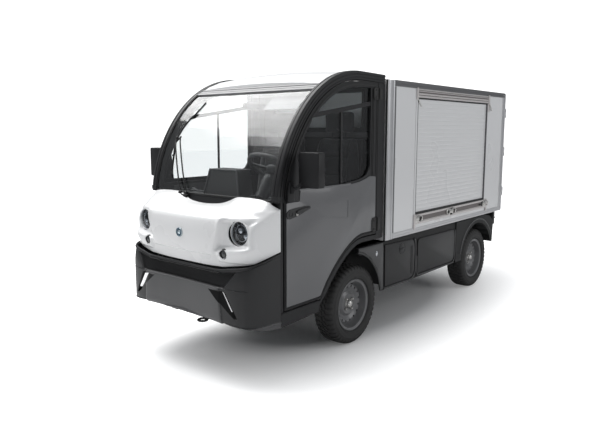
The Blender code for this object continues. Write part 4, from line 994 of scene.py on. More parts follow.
handle_shape = [(-0.777, 1.006), (-0.78, 1.022), (-0.772, 1.036), (-0.75, 1.047), (-0.7, 1.053),
    (-0.6, 1.056), (-0.566, 1.054), (-0.553, 1.046), (-0.556, 1.036), (-0.6, 1.024),
    (-0.66, 1.006), (-0.715, 0.995), (-0.752, 0.99), (-0.77, 0.994)]
handle = side_plate("handle_cup", handle_shape, 0.605, 0.613, 0.003, 3)
lever = side_plate("handle_lever", [(-0.7, 1.014), (-0.69, 1.036), (-0.64, 1.046), (-0.572, 1.049),
    (-0.562, 1.043), (-0.604, 1.03), (-0.65, 1.016)], 0.612, 0.623, 0.0035, 3)
collar = turned("lock_collar", [(0.01, 0), (0.01, 0.017), (0.0155, 0.016), (0.0165, 0.0135),
    (0.013, 0.012), (0.011, 0)], 28, centre=(0.6, behind(-0.742), 1.02))
both_sides([handle, lever, collar], "door_handle", grained_plastic, CAB_DOORS,
           smooth=45)
button = turned("lock_barrel", [(0.01, 0), (0.01, 0.0105), (0.019, 0.01), (0.0215, 0.008),
    (0.0215, 0.002), (0.02, 0.0015), (0.02, 0)], 24, centre=(0.6, behind(-0.69), 1.016))
both_sides(button, "door_lock", bright_steel, CAB_DOORS)
hinges = []
for z, tall in ((0.845, 0.05), (1.765, 0.042)):
    hinges.append(side_plate("hinge_leaf", [(0.14, z - tall * 0.7), (0.152, z - tall),
        (0.196, z - tall), (0.2, z - tall + 0.01), (0.2, z + tall - 0.01), (0.196, z + tall),
        (0.152, z + tall), (0.14, z + tall * 0.7)], 0.603, 0.611, 0.0025, 3))
    for turn in (-0.6, 0.6):
        hinges.append(turned("hinge_bolt", [(0, 0), (0, 0.0085), (0.0030, 0.0080),
                                            (0.0060, 0.0050), (0.0070, 0)], 14,
                             centre=(0.610, behind(0.166), z + tall * turn)))
both_sides(hinges, "door_hinges", black_steel, CAB_DOORS, smooth=45)
pins = []
for z, tall in ((0.845, 0.05), (1.765, 0.042)):
    pins.append(turned("hinge_pin", [(z - tall, 0), (z - tall, 0.006), (z - tall + 0.002, 0.0075),
        (z + tall - 0.002, 0.0075), (z + tall, 0.006), (z + tall, 0)], 18,
        centre=(0.612, behind(0.2085), 0), axis=(0, 0, 1)))
    pins.append(side_plate("hinge_fixed", [(0.216, z - tall), (0.250, z - tall * 0.8),
                                           (0.250, z + tall * 0.8), (0.216, z + tall)],
                           0.5985, 0.6080, 0.0025, 3))
both_sides(pins, "hinge_pins", black_steel, smooth=45)

# ------------------------------------------------------------------ mirrors
# Flat door mirrors in a black plastic shell on a two-bolt foot, with a folded arm and a silvered
# glass that faces the driver.
head = plate("mirror_head", [(x, behind(-0.712), z) for x, z in ((0.652, 1.178), (0.79, 1.18),
    (0.795, 1.19), (0.795, 1.378), (0.79, 1.387), (0.65, 1.388), (0.645, 1.38), (0.646, 1.188))],
    (0, 0.062, 0), 0.012, 4)
dish = bar("mirror_dish", (0.656, behind(-0.66), 1.19), (0.784, behind(-0.63), 1.376), 0.008, 3)
head = cut_out(head, dish)
foot = side_plate("mirror_foot", [(-0.776, 1.09), (-0.718, 1.09), (-0.715, 1.1), (-0.717, 1.206),
    (-0.73, 1.214), (-0.76, 1.21), (-0.776, 1.15)], 0.603, 0.62, 0.004, 3)
arm = tube("mirror_arm", smooth_path([(0.612, behind(-0.742), 1.165),
    (0.635, behind(-0.735), 1.17), (0.654, behind(-0.712), 1.19), (0.668, behind(-0.69), 1.225)],
    16), 0.0105, 16)
knuckle = turned("mirror_knuckle", [(-0.02, 0), (-0.02, 0.013), (0.016, 0.0145), (0.022, 0.011),
    (0.022, 0)], 24, centre=(0.6225, behind(-0.742), 1.165), axis=(0, 0, 1))
both_sides([head, foot, arm, knuckle], "mirror_shell", satin_black, CAB_DOORS,
           stands_for="mirror", smooth=45)
mirror_glass = grained_finish("mirror_glass", (0.80, 0.82, 0.83), (0.78, 0.80, 0.82), 0.03, 0.01,
                              metallic=1.0, patch=2, grain_size=30, strength=0.01)
silver = bar("mirror_silver", (0.659, behind(-0.6600), 1.193), (0.781, behind(-0.6560), 1.373),
             0.0015)
both_sides(silver, "mirror_silver", mirror_glass, CAB_DOORS)

# ------------------------------------------------------------------ dashboard fittings
# The moulded dashboard carries an instrument hood with a dark screen, a row of switches, two round
# vents, a drive lever and a lidded shelf. All of it is screwed to the cab's front wall.
screen_glass = grained_finish("screen_glass", (0.008, 0.010, 0.012), (0.016, 0.018, 0.021), 0.10,
                              0.05, coat=1.0, patch=18, grain_size=200, strength=0.05)
trim_grey = grained_finish("trim_grey", (0.055, 0.055, 0.057), (0.072, 0.072, 0.074), 0.5,
                           patch=8, grain_size=1200, strength=0.4)
hood_rim = [(x, behind(d), z) for x, d, z in (
    (-0.177, -0.747, 1.050), (-0.127, -0.718, 1.257), (0.127, -0.718, 1.257),
    (0.177, -0.747, 1.050))]
trims = [tube("hood_rim", smooth_path([hood_rim[0], hood_rim[1]], 8)
              + smooth_path([hood_rim[1], hood_rim[2]], 10)[1:]
              + smooth_path([hood_rim[2], hood_rim[3]], 8)[1:], 0.0055, 12)]
shroud = turned("column_cover", [(-0.2, 0.03), (-0.19, 0.046), (-0.06, 0.05), (-0.03, 0.046),
    (-0.02, 0.036), (-0.02, 0.03)], 40, centre=(0.29, behind(-0.555), 1.233),
    axis=(0, 0.574, 0.819))
trims.append(bar("hood_lip", (-0.132, behind(-0.722), 1.2525), (0.132, behind(-0.586), 1.2600),
                 0.003, 3))
trims.append(bar("shelf_lip", (-0.534, behind(-0.648), 1.0835), (-0.190, behind(-0.636), 1.0960),
                 0.004, 3))
trims.append(bar("shelf_lip", (0.180, behind(-0.648), 1.0835), (0.534, behind(-0.636), 1.0960),
                 0.004, 3))
trims.append(bar("glove_lid", (-0.500, behind(-0.566), 0.975), (-0.200, behind(-0.556), 1.036),
                 0.004, 3))
for x in (-0.43, 0.48):
    trims.append(turned("vent_ring", [(0.0, 0.03), (0.0, 0.038), (0.01, 0.04), (0.014, 0.037),
        (0.012, 0.032), (0.006, 0.03)], 32, centre=(x, behind(-0.6), 1.066), axis=(0, 0.87, 0.49)))
    for k in range(-2, 3):
        slat = bar("vent_slat", (x - 0.032, -0.0012, k * 0.012 - 0.0035),
                   (x + 0.032, 0.0012, k * 0.012 + 0.0035), 0.0008, 1)
        trims.append(put(slat, moved((0, behind(-0.596), 1.068)) @ turned_by(-60, "X")))
fitted(joined(trims, "dash_trim"), trim_grey, "body", smooth=40)
dials = [plate("screen", [(x, behind(-0.5885), z) for x, z in (
    (-0.115, 1.100), (0.115, 1.100), (0.100, 1.232), (-0.100, 1.232))], (0, 0.004, 0), 0.0015)]
for k in range(5):
    dials.append(bar("switch", (-0.155 + 0.040 * k, behind(-0.566), 1.002),
                     (-0.127 + 0.040 * k, behind(-0.553), 1.026), 0.002))
fitted(joined(dials, "dash_screen"), screen_glass, "body")
lever = [tube("drive_lever", smooth_path([(0.06, behind(-0.56), 0.985), (0.06, behind(-0.52), 1.0),
    (0.06, behind(-0.49), 1.04)], 12), 0.0055, 12), turned("lever_knob",
    [(-0.022, 0), (-0.02, 0.011), (-0.006, 0.017), (0.012, 0.0165), (0.021, 0.01), (0.024, 0)], 24,
    centre=(0.06, behind(-0.484), 1.052), axis=(0, 0.3, 0.95)),
    turned("column_collar", [(-0.05, 0.0345), (-0.05, 0.042), (-0.02, 0.048), (0.01, 0.047),
    (0.018, 0.042), (0.018, 0.0345)], 36, centre=(0.29, behind(-0.58), 1.197),
    axis=(0, 0.574, 0.819))]
for side in (-1, 1):
    lever.append(tube("stalk", smooth_path([(0.29 + side * 0.04, behind(-0.575), 1.205),
        (0.29 + side * 0.085, behind(-0.565), 1.222), (0.29 + side * 0.13, behind(-0.562), 1.24)],
        14), 0.0052, 12))
fitted(joined(lever + [shroud], "dash_controls"), satin_black, "body", smooth=45)

# ------------------------------------------------------------------ steering wheel
# A moulded three-spoke wheel: a steel ring under dimpled grip foam, padded spokes and a domed
# centre pad. It is nutted to the tilted column and turns with it.
grip_foam = grained_finish("grip_foam", (0.015, 0.015, 0.016), (0.024, 0.024, 0.025), 0.55,
                           patch=20, grain_size=1600, depth=0.0005, strength=0.5)
ring = [(0.175 + 0.0145 * math.cos(a) * (1.0 if abs(math.sin(a)) > 0.3 else 0.96),
         0.0145 * math.sin(a)) for a in np.linspace(0, math.tau, 20, endpoint=False)]
wheel_parts = [turned("wheel_ring", [(z, r) for r, z in ring], 96, axis=(0, 0, 1))]
wheel_parts.append(turned("wheel_pad", [(-0.04, 0.03), (-0.02, 0.048), (-0.004, 0.052),
    (0.006, 0.05), (0.013, 0.042), (0.017, 0.025), (0.018, 0), (-0.04, 0)], 48, axis=(0, 0, 1),
    closed=False))
spoke = plate("wheel_spoke", [(0.036, -0.022, -0.011), (0.1, -0.014, -0.008),
    (0.15, -0.013, -0.006), (0.17, -0.018, -0.006), (0.17, 0.018, -0.006), (0.15, 0.013, -0.006),
    (0.1, 0.014, -0.008), (0.036, 0.022, -0.011)], (0, 0, 0.013), 0.004, 3)
for angle in (90, 200, 340):
    wheel_parts.append(copied(spoke, "wheel_spoke", turned_by(angle, "Z")))
discard(spoke)
steering = put(joined(wheel_parts, "steering_rim"),
               moved((0.29, behind(-0.535), 1.262)) @ turned_by(-35, "X"))
fitted(steering, grip_foam, "steering", ("steering_wheel",), 45)

# ------------------------------------------------------------------ seats
# Two bucket seats in dark woven cloth over foam: a crowned cushion, a winged back and a headrest
# on two steel posts, sewn with channels and piped round the edge. They bolt to the seat box.
weave, weave_in, weave_out = new_group(
    "cloth_weave",
    (("Thread", "Color"), ("Shadow", "Color"), ("Threads per metre", "Float"), ("Wear", "Float")),
    (("Colour", "Color"), ("Roughness", "Float"), ("Height", "Float")))
cloth_place = add_node(weave, "TexCoord").outputs["Object"]
heights = []
for direction in ("X", "Z"):
    thread = add_node(weave, "TexWave", Distortion=0.6, Detail=1.0)
    thread.bands_direction = direction
    connect(weave, (cloth_place, thread.inputs["Vector"]),
            (weave_in.outputs["Threads per metre"], thread.inputs["Scale"]))
    heights.append(thread.outputs["Fac"])
woven = math_node(weave, "MAXIMUM", *heights)
fluff = add_node(weave, "TexNoise", Scale=22.0)
worn = math_node(weave, "MULTIPLY", fluff.outputs["Fac"], weave_in.outputs["Wear"])
blend_share = math_node(weave, "ADD", math_node(weave, "MULTIPLY", woven, 0.7), worn, clamp=True)
matt = math_node(weave, "ADD", math_node(weave, "MULTIPLY", fluff.outputs["Fac"], 0.15), 0.78,
                 clamp=True)
connect(weave, (woven, weave_out.inputs["Height"]), (cloth_place, fluff.inputs["Vector"]),
        (colour_mix(weave, blend_share, weave_in.outputs["Shadow"], weave_in.outputs["Thread"]),
         weave_out.inputs["Colour"]), (matt, weave_out.inputs["Roughness"]))
seat_cloth, cloth_shader = group_finish(
    "seat_cloth", weave, 0.35, 0.0006, Thread=(0.030, 0.030, 0.032, 1),
    Shadow=(0.010, 0.010, 0.011, 1), Threads_per_metre=260, Wear=0.25)
set_inputs(cloth_shader, Sheen_Weight=0.25, Sheen_Roughness=0.5)
SEAT_X = 0.275


def points_of(mesh):
    """A mesh's points as rows of x, y and z."""
    rows = np.empty(len(mesh.vertices) * 3)
    mesh.vertices.foreach_get("co", rows)
    return rows.reshape(-1, 3)


def set_points(piece, rows):
    """Puts a piece's points at new places."""
    piece.data.vertices.foreach_set("co", rows.ravel())
    piece.data.update()


def foam(name, low, high, bevel, cap, voxel=0.008):
    """A padded block: shaped, swelled as cloth under pressure, held near its foam, smoothed."""
    piece = bar(name, low, high, bevel, 4)
    only(piece)
    shaped(piece, "REMESH", mode="VOXEL", voxel_size=voxel)
    start = points_of(piece.data)
    cloth = piece.modifiers.new("swell", "CLOTH")
    cloth.settings.use_pressure = True
    cloth.settings.uniform_pressure_force = 4.0
    cloth.settings.effector_weights.gravity = 0.0
    cloth.settings.quality = 5
    for frame_number in range(1, 21):
        bpy.context.scene.frame_set(frame_number)
    shaped_now = piece.evaluated_get(bpy.context.evaluated_depsgraph_get()).to_mesh()
    end = points_of(shaped_now)
    piece.evaluated_get(bpy.context.evaluated_depsgraph_get()).to_mesh_clear()
    piece.modifiers.remove(cloth)
    bpy.context.scene.frame_set(1)
    shift = end - start
    length = np.maximum(np.linalg.norm(shift, axis=1, keepdims=True), 1e-9)
    end = start + shift * np.minimum(1.0, cap / length)
    set_points(piece, end)
    shaped(piece, "SMOOTH", factor=0.5, iterations=4)
    return shaped(piece, "SUBSURF", levels=1, render_levels=1)


def sewn(piece, channels):
    """Presses sewn channels into a padded piece; each gives the push of a point."""
    place = points_of(piece.data)
    facing = np.empty(place.size)
    piece.data.vertex_normals.foreach_get("vector", facing)
    facing = facing.reshape(-1, 3)
    set_points(piece, place - facing * channels(place, facing)[:, None])
    return piece


def cushion_channels(place, facing):
    """The push of the cushion's sewn channels and of its sitting hollow."""
    x, y = place[:, 0] - SEAT_X, place[:, 1] - behind(0)
    up = np.clip(facing[:, 2], 0, 1)
    lines = sum(np.exp(-((x - line) / 0.006) ** 2) for line in (-0.135, 0.135))
    lines += sum(np.exp(-((y - line) / 0.006) ** 2) * (np.abs(x) < 0.137)
                 for line in (-0.085, 0.045))
    return up * (0.007 * np.clip(lines, 0, 1) + 0.012 * np.exp(-(x / 0.11) ** 2
                                                               - ((y - 0.02) / 0.13) ** 2))


def back_channels(place, facing):
    """The push of the back's sewn channels and of its hollow."""
    x, z = place[:, 0] - SEAT_X, place[:, 2]
    front = np.clip(-facing[:, 1], 0, 1)
    lines = sum(np.exp(-((x - line) / 0.006) ** 2) for line in (-0.13, 0.13))
    lines += sum(np.exp(-((z - line) / 0.006) ** 2) * (np.abs(x) < 0.132)
                 for line in (1.06, 1.19, 1.32))
    return front * (0.007 * np.clip(lines, 0, 1) + 0.016 * np.exp(-(x / 0.12) ** 2)
                    * step(z, 0.92, 1.1))


cushion = foam("seat_cushion", (SEAT_X - 0.226, behind(-0.226), 0.8480),
               (SEAT_X + 0.226, behind(0.090), 0.9440), 0.034, 0.012)
cushion = sewn(cushion, cushion_channels)
back = foam("seat_back", (SEAT_X - 0.216, behind(0.066), 0.9150),
            (SEAT_X + 0.216, behind(0.150), 1.4650), 0.036, 0.014)
leaned = points_of(back.data)
taper = 1 - 0.24 * step(leaned[:, 2], 1.2, 1.47) ** 1.4
leaned[:, 0] = SEAT_X + (leaned[:, 0] - SEAT_X) * taper
leaned[:, 1] += (leaned[:, 2] - 0.92) * 0.155
leaned[:, 1] -= 0.02 * (np.abs(leaned[:, 0] - SEAT_X) / 0.216) ** 3 \
    * (leaned[:, 1] < behind(0.18) + 0.1)
set_points(back, leaned)
back = sewn(back, back_channels)
headrest = foam("seat_headrest", (SEAT_X - 0.122, behind(0.166), 1.4950),
                (SEAT_X + 0.122, behind(0.232), 1.6480), 0.026, 0.010, 0.006)
posts = [tube("headrest_post", [(SEAT_X + dx, behind(0.186), 1.44),
                                (SEAT_X + dx, behind(0.198), 1.520)], 0.0060, 12)
         for dx in (-0.060, 0.060)]
frame_parts = [bar("seat_shell", (SEAT_X - 0.2, behind(0.094), 0.848),
    (SEAT_X + 0.2, behind(0.225), 0.905), 0.012, 3), bar("seat_rail",
    (SEAT_X - 0.19, behind(-0.2), 0.843), (SEAT_X - 0.16, behind(0.21), 0.85), 0.002),
    bar("seat_rail", (SEAT_X + 0.16, behind(-0.2), 0.843), (SEAT_X + 0.19, behind(0.21), 0.85),
    0.002)]
shell_back = plate("seat_back_shell", [(SEAT_X - 0.19, behind(d), z)
    for d, z in ((0.15, 0.9), (0.185, 0.9), (0.262, 1.44), (0.24, 1.452), (0.232, 1.44))],
    (0.38, 0, 0), 0.012, 3)
frame_parts += [shell_back] + posts
seat_plastic = grained_finish("seat_plastic", (0.018, 0.018, 0.019), (0.026, 0.026, 0.027), 0.5,
                              patch=6, grain_size=1100, strength=0.4)
fitted(joined(frame_parts, "seat_frame_driver"), seat_plastic, "body", smooth=40)
passenger_frame = copied(bpy.data.objects["seat_frame_driver"], "seat_frame_passenger",
                         moved((-2 * SEAT_X, 0, 0)))
fitted(passenger_frame, seat_plastic, "body", smooth=40)
for model in (cushion, back, headrest):
    name = model.name
    twin = copied(model, name + "_passenger", moved((-2 * SEAT_X, 0, 0)))
    model.name = name + "_driver"
    for piece, node in ((model, "driver_seat"), (twin, "passenger_seat")):
        fitted(piece, seat_cloth, "body", (node,) if name == "seat_cushion" else (), 180)
piping = []
for side in (-1, 1):
    piping.append(tube("seat_piping", smooth_path([
        (SEAT_X + side * 0.205, behind(d), z) for d, z in (
            (-0.205, 0.945), (-0.150, 0.954), (-0.050, 0.958), (0.040, 0.957))], 18), 0.0032, 8))
piping.append(tube("seat_piping", smooth_path([
    (SEAT_X + x, behind(-0.232 + 0.3 * x * x), 0.928) for x in (-0.19, -0.1, 0, 0.1, 0.19)], 20),
    0.0032, 8))
driver_piping = joined(piping, "seat_piping_driver")
passenger_piping = copied(driver_piping, "seat_piping_passenger", moved((-2 * SEAT_X, 0, 0)))
for piece in (driver_piping, passenger_piping):
    fitted(piece, seat_plastic, "body", smooth=60)

# ------------------------------------------------------------------ cab lining
# A padded sun visor on a rod behind the header, a grey trim rail and a rubber seal round the rear
# window, and inner door cards with an armrest and a pull.
visor_line = [point for point in roof_curve(0.055, 120) if -0.53 < point[0] < -0.395]
visor_under = [(d + 0.01, z - 0.006) for d, z in reversed(visor_line)]
visor = plate("sun_visor", [(0.185, behind(d), z) for d, z in visor_line + visor_under],
              (0.290, 0, 0), 0.003, 2)
visor_vinyl = grained_finish("visor_vinyl", (0.070, 0.070, 0.072), (0.095, 0.095, 0.097), 0.6,
                             patch=10, grain_size=1500, depth=0.0004, strength=0.5)
fitted(visor, visor_vinyl, "body", smooth=50)
lining = [tube("visor_rod", [(x, behind(-0.388), 1.768) for x in (-0.49, -0.2, 0.2, 0.49)], 0.005)]
lining += [tube("mirror_stem", smooth_path([(0, behind(-0.4), 1.765), (0, behind(-0.43), 1.735),
    (0, behind(-0.44), 1.7)], 10), 0.006), bar("inside_mirror", (-0.085, behind(-0.452), 1.655),
    (0.085, behind(-0.432), 1.705), 0.008, 3)]
for x in (-0.439, 0.439):
    lining.append(bar("rear_window_seal", (x - 0.012, behind(0.256), 1.520),
                      (x + 0.012, behind(0.264), 1.800), 0.003))
for z in (1.522, 1.798):
    lining.append(bar("rear_window_seal", (-0.451, behind(0.256), z - 0.012),
                      (0.451, behind(0.264), z + 0.012), 0.003))
fitted(joined(lining, "cab_lining"), satin_black, "body", smooth=50)
rail = bar("rear_trim_rail", (-0.535, behind(0.252), 1.462), (0.535, behind(0.264), 1.5), 0.004, 3)
fitted(rail, trim_grey, "body")
card = side_plate("door_card", [(-0.7, 0.48), (-0.47, 0.48), (-0.375, 0.63), (-0.15, 0.815),
    (0.15, 0.825), (0.15, 1.12), (-0.69, 1.12)], 0.5535, 0.5605, 0.003)
rest = bar("door_armrest", (0.52, behind(-0.42), 0.945), (0.556, behind(0.02), 0.985), 0.012, 4)
pull = tube("door_pull", smooth_path([(0.552, behind(-0.56), 1.02), (0.53, behind(-0.555), 1.022),
    (0.527, behind(-0.5), 1.03), (0.53, behind(-0.445), 1.038), (0.552, behind(-0.44), 1.04)], 20),
    0.008, 12)
both_sides([card, rest, pull], "door_card", seat_plastic, CAB_DOORS, smooth=45)

# ------------------------------------------------------------------ box frame
# The box is bonded from pale coated panels held in aluminium extrusions: ribbed corner posts, a
# dark grey gutter rail along the top and a light skirt rail along the bottom, with riveted caps.
rose_metal = grained_finish("rose_metal", (0.56, 0.53, 0.52), (0.64, 0.61, 0.6), 0.3, 0.1,
    metallic=0.35, patch=9, grain_size=260, depth=0.0002, strength=0.15, stretched=(1, 0.05, 1))


def upright(name, section, low, high):
    """An (x, distance) section drawn upwards."""
    return plate(name, [(x, behind(d), low) for x, d in section], (0, 0, high - low))


def length_rail(name, section, first, last):
    """An (x, height) section drawn along the vehicle."""
    return plate(name, [(x, behind(first), z) for x, z in section], (0, last - first, 0))


post = upright("front_post", [(0.6095, 0.32), (0.6118, 0.3205), (0.6125, 0.3225), (0.6125, 0.3265),
    (0.6103, 0.3275), (0.6103, 0.3325), (0.6128, 0.3335), (0.614, 0.338), (0.6142, 0.36),
    (0.614, 0.383), (0.6125, 0.3875), (0.6108, 0.3885), (0.6108, 0.3945), (0.6138, 0.396),
    (0.615, 0.4), (0.615, 0.408), (0.6132, 0.4125), (0.6095, 0.418)], 0.7055, 1.8715)
rear_post = upright("rear_post", [(0.6095, 2.471), (0.612, 2.472), (0.613, 2.476), (0.613, 2.496),
    (0.6108, 2.4975), (0.6108, 2.501), (0.6128, 2.5025), (0.6128, 2.512), (0.611, 2.5145),
    (0.6095, 2.515)], 0.7055, 1.8715)
low_rail = length_rail("skirt_rail", [(0.6095, 0.7055), (0.6122, 0.706), (0.613, 0.7085),
    (0.613, 0.72), (0.6108, 0.7215), (0.6108, 0.7255), (0.6128, 0.727), (0.613, 0.742),
    (0.6115, 0.745), (0.6095, 0.7455)], 0.4185, 2.4705)
both_sides([post, rear_post, low_rail], "box_frame", aluminium, smooth=25)
gutter = length_rail("gutter_rail", [(0.6095, 1.831), (0.6125, 1.8315), (0.6135, 1.834),
    (0.6135, 1.847), (0.6112, 1.8485), (0.6112, 1.852), (0.6138, 1.8535), (0.615, 1.856),
    (0.615, 1.868), (0.6135, 1.873), (0.6095, 1.8755), (0.595, 1.8755), (0.595, 1.8722),
    (0.6095, 1.8722)], 0.4185, 2.506)
gap = upright("panel_gap", [(0.6058, 0.4235), (0.6080, 0.4235), (0.6080, 0.4380),
                            (0.6058, 0.4380)], 0.7480, 1.8280)
both_sides([gutter, gap], "gutter_rail", grey_rail, smooth=25)
edge_rubber = upright("rear_edge", [(0.6020, 2.5152), (0.6120, 2.5152), (0.6120, 2.5195),
                                    (0.6020, 2.5195)], 0.7060, 1.8710)
edge_front = upright("front_edge", [(0.5990, 0.3120), (0.6090, 0.3120), (0.6090, 0.3198),
                                    (0.5990, 0.3198)], 0.7060, 1.8710)
both_sides([edge_rubber, edge_front], "box_edge", window_rubber)
rivet = turned("box_rivet", [(0, 0), (0, 0.0040), (0.0010, 0.0037), (0.0020, 0.0022),
                             (0.0023, 0)], 10, centre=(0.6118, 0, 0))
rivets = []
for d, z in [(0.361, 0.73 + 0.125 * k) for k in range(10)] \
        + [(2.486, 0.73 + 0.125 * k) for k in range(10)] \
        + [(0.5 + 0.15 * k, 0.7345) for k in range(14)]:
    rivets.append(copied(rivet, "box_rivet", moved((0.0006, behind(d), z))))
discard(rivet)
both_sides(rivets, "box_rivets", aluminium, smooth=60)
roof_trims = [bar("roof_seam", (-0.606, behind(d), 1.8715), (0.606, behind(d + 0.024), 1.8745),
                  0.0012) for d in (0.3215, 1.045, 1.770, 2.4900)]
fitted(joined(roof_trims, "roof_seams"), aluminium, "body")

# ------------------------------------------------------------------ side shutters
# A roll-up shutter of narrow aluminium slats fills each side, under a three-ribbed casing with
# end brackets and catches, and closes on a bottom bar with latches in a rubber-lined frame.
SLATS, SLAT_PITCH = 28, 0.0334
slat_section = []
for k in range(SLATS):
    low = 0.856 + k * SLAT_PITCH
    slat_section += [(0.5965, low), (0.5975, low + 0.0020), (0.5983, low + 0.0090),
                     (0.5986, low + 0.0170), (0.5983, low + 0.0250), (0.5975, low + 0.0315),
                     (0.5965, low + SLAT_PITCH)]
slat_section = [point for number, point in enumerate(slat_section)
                if not number or point != slat_section[number - 1]]
curtain = length_rail("shutter_curtain", slat_section
                      + [(0.5900, slat_section[-1][1]), (0.5900, slat_section[0][1])],
                      0.7680, 2.0890)
both_sides(curtain, "shutter_curtain", panel_coating, stands_for="shutter", smooth=50)
casing = length_rail("shutter_casing", [(0.6095, 1.764), (0.612, 1.7645), (0.6145, 1.7665),
    (0.616, 1.77), (0.616, 1.7765), (0.614, 1.7795), (0.6118, 1.7805), (0.6118, 1.784),
    (0.615, 1.786), (0.6165, 1.789), (0.6165, 1.7945), (0.6145, 1.7975), (0.6122, 1.799),
    (0.6128, 1.809), (0.614, 1.812), (0.6128, 1.815), (0.611, 1.816), (0.611, 1.82),
    (0.6125, 1.823), (0.6125, 1.828), (0.6095, 1.83)], 0.756, 2.102)
bottom_frame = length_rail("bottom_frame", [(0.6095, 0.77), (0.613, 0.7705), (0.6155, 0.7725),
    (0.6165, 0.776), (0.6165, 0.787), (0.615, 0.79), (0.6125, 0.7915), (0.6118, 0.794),
    (0.6118, 0.8345), (0.613, 0.837), (0.6155, 0.8385), (0.6165, 0.841), (0.6165, 0.847),
    (0.615, 0.85), (0.6095, 0.8515)], 0.756, 2.13)
brackets = []
for d, width in ((0.733, 0.024), (2.102, 0.034)):
    brackets.append(side_plate("casing_end", [(d, 1.756), (d + 0.004, 1.75),
        (d + width - 0.004, 1.75), (d + width, 1.756), (d + width, 1.834),
        (d + width - 0.004, 1.838), (d + 0.004, 1.838), (d, 1.834)], 0.6092, 0.6185, 0.0025, 3))
brackets.append(side_plate("corner_plate", [(2.106, 1.685), (2.133, 1.68), (2.15, 1.7),
    (2.153, 1.75), (2.106, 1.75)], 0.606, 0.6115, 0.002, 2))
for d in (0.733, 2.132):
    brackets.append(side_plate("frame_end", [
        (d, 0.7340), (d + 0.026, 0.7340), (d + 0.026, 0.8540), (d, 0.8540)],
        0.6092, 0.6175, 0.0025, 3))
both_sides([casing, bottom_frame] + brackets, "shutter_frame", rose_metal, smooth=25)
# Darker copies of the frame metal fill the grooves of the casing and the bottom frame: painted
# shade in the grooves.
groove_shade_metal = grained_finish("groove_shade_metal", (0.13, 0.115, 0.112), (0.18, 0.16, 0.155), 0.4,
                               0.1, metallic=0.4, patch=9, grain_size=260, strength=0.15)
channels = [length_rail("frame_channel", [(0.6105, 0.7960), (0.6121, 0.7960), (0.6121, 0.8330),
                                          (0.6105, 0.8330)], 0.7600, 2.1260)]
channels += [length_rail("casing_channel", [(0.6105, low), (0.6132, low), (0.6132, high),
                                            (0.6105, high)], 0.7600, 2.1000)
             for low, high in ((1.7795, 1.7860), (1.7985, 1.8095), (1.8165, 1.8200))]
both_sides(channels, "frame_channels", groove_shade_metal)
lever_line = [(0.616, behind(d), z) for d, z in (
    (0.745, 1.7620), (0.755, 1.7480), (0.778, 1.7180), (0.795, 1.7020), (0.800, 1.6960))]
catches = [tube("casing_lever", smooth_path(lever_line, 16), 0.0050, 12),
           tube("casing_lever", smooth_path([(x, y + 1.385, z) for x, y, z in lever_line], 16),
                0.0050, 12)]
latch = [side_plate("latch_plate", [(-0.02, -0.024), (0.016, -0.024), (0.02, -0.02), (0.02, 0.02),
    (0.016, 0.024), (-0.02, 0.024)], 0.6115, 0.6175, 0.002, 2),
    turned("latch_boss", [(0.616, 0), (0.616, 0.015), (0.62, 0.014), (0.6215, 0.01), (0.6225, 0)],
    24, centre=(0, behind(0.002), 0.002)), tube("latch_hook",
    smooth_path([(0.618, behind(d), z) for d, z in ((0.004, 0.014), (0.03, 0.016), (0.046, 0.004),
    (0.04, -0.012), (0.026, -0.014))], 18), 0.0042, 12)]
MIDDLE_LATCH_D = 1.396
latch = put(joined(latch, "latch"), moved((0, behind(0), 0))
            @ Matrix.Diagonal((1, 1.7, 1.35, 1)) @ moved((0, -behind(0), 0)))
for d in (0.788, MIDDLE_LATCH_D, 2.098):
    catches.append(copied(latch, "latch", moved((0, d, 0.814))))
catches.append(copied(catches[-2], "latch", moved((0, 2 * behind(MIDDLE_LATCH_D) - 0.016, 0))
                      @ Matrix.Diagonal((1, -1, 1, 1))))
discard(latch)
both_sides(catches, "shutter_latches", bright_steel, smooth=45)
grips = [side_plate("latch_back", [(d - 0.044, 0.78), (d + 0.044, 0.78), (d + 0.044, 0.848),
    (d - 0.044, 0.848)], 0.6105, 0.6135, 0.001, 1) for d in (0.802, 1.38, 2.084)]
grips += [side_plate("latch_grip", [(d, z - 0.006), (d + w, z - 0.009), (d + w + 0.006, z),
    (d + w, z + 0.009), (d, z + 0.006)], 0.612, 0.62, 0.003, 3)
    for d, w, z in ((1.3, 0.066, 0.812), (1.98, 0.07, 0.812), (0.8, 0.04, 0.806))]
guides = [upright("shutter_guide", section, 0.852, 1.764) for section in (
    ((0.597, 2.0905), (0.6112, 2.0905), (0.6112, 2.0965), (0.6092, 2.103), (0.597, 2.103)),
    ((0.597, 0.7665), (0.597, 0.754), (0.6092, 0.754), (0.6105, 0.758), (0.6105, 0.765),
    (0.604, 0.7665)))]
both_sides(guides, "shutter_guides", grey_rail, smooth=25)
seals = [length_rail("curtain_seal", [(0.596, 0.8518), (0.612, 0.8518), (0.612, 0.856),
    (0.606, 0.868), (0.596, 0.868)], 0.768, 2.089), length_rail("curtain_brush",
    [(0.596, 1.752), (0.608, 1.756), (0.611, 1.7639), (0.596, 1.7639)], 0.768, 2.089)]
both_sides(seals + grips, "shutter_seals", window_rubber)

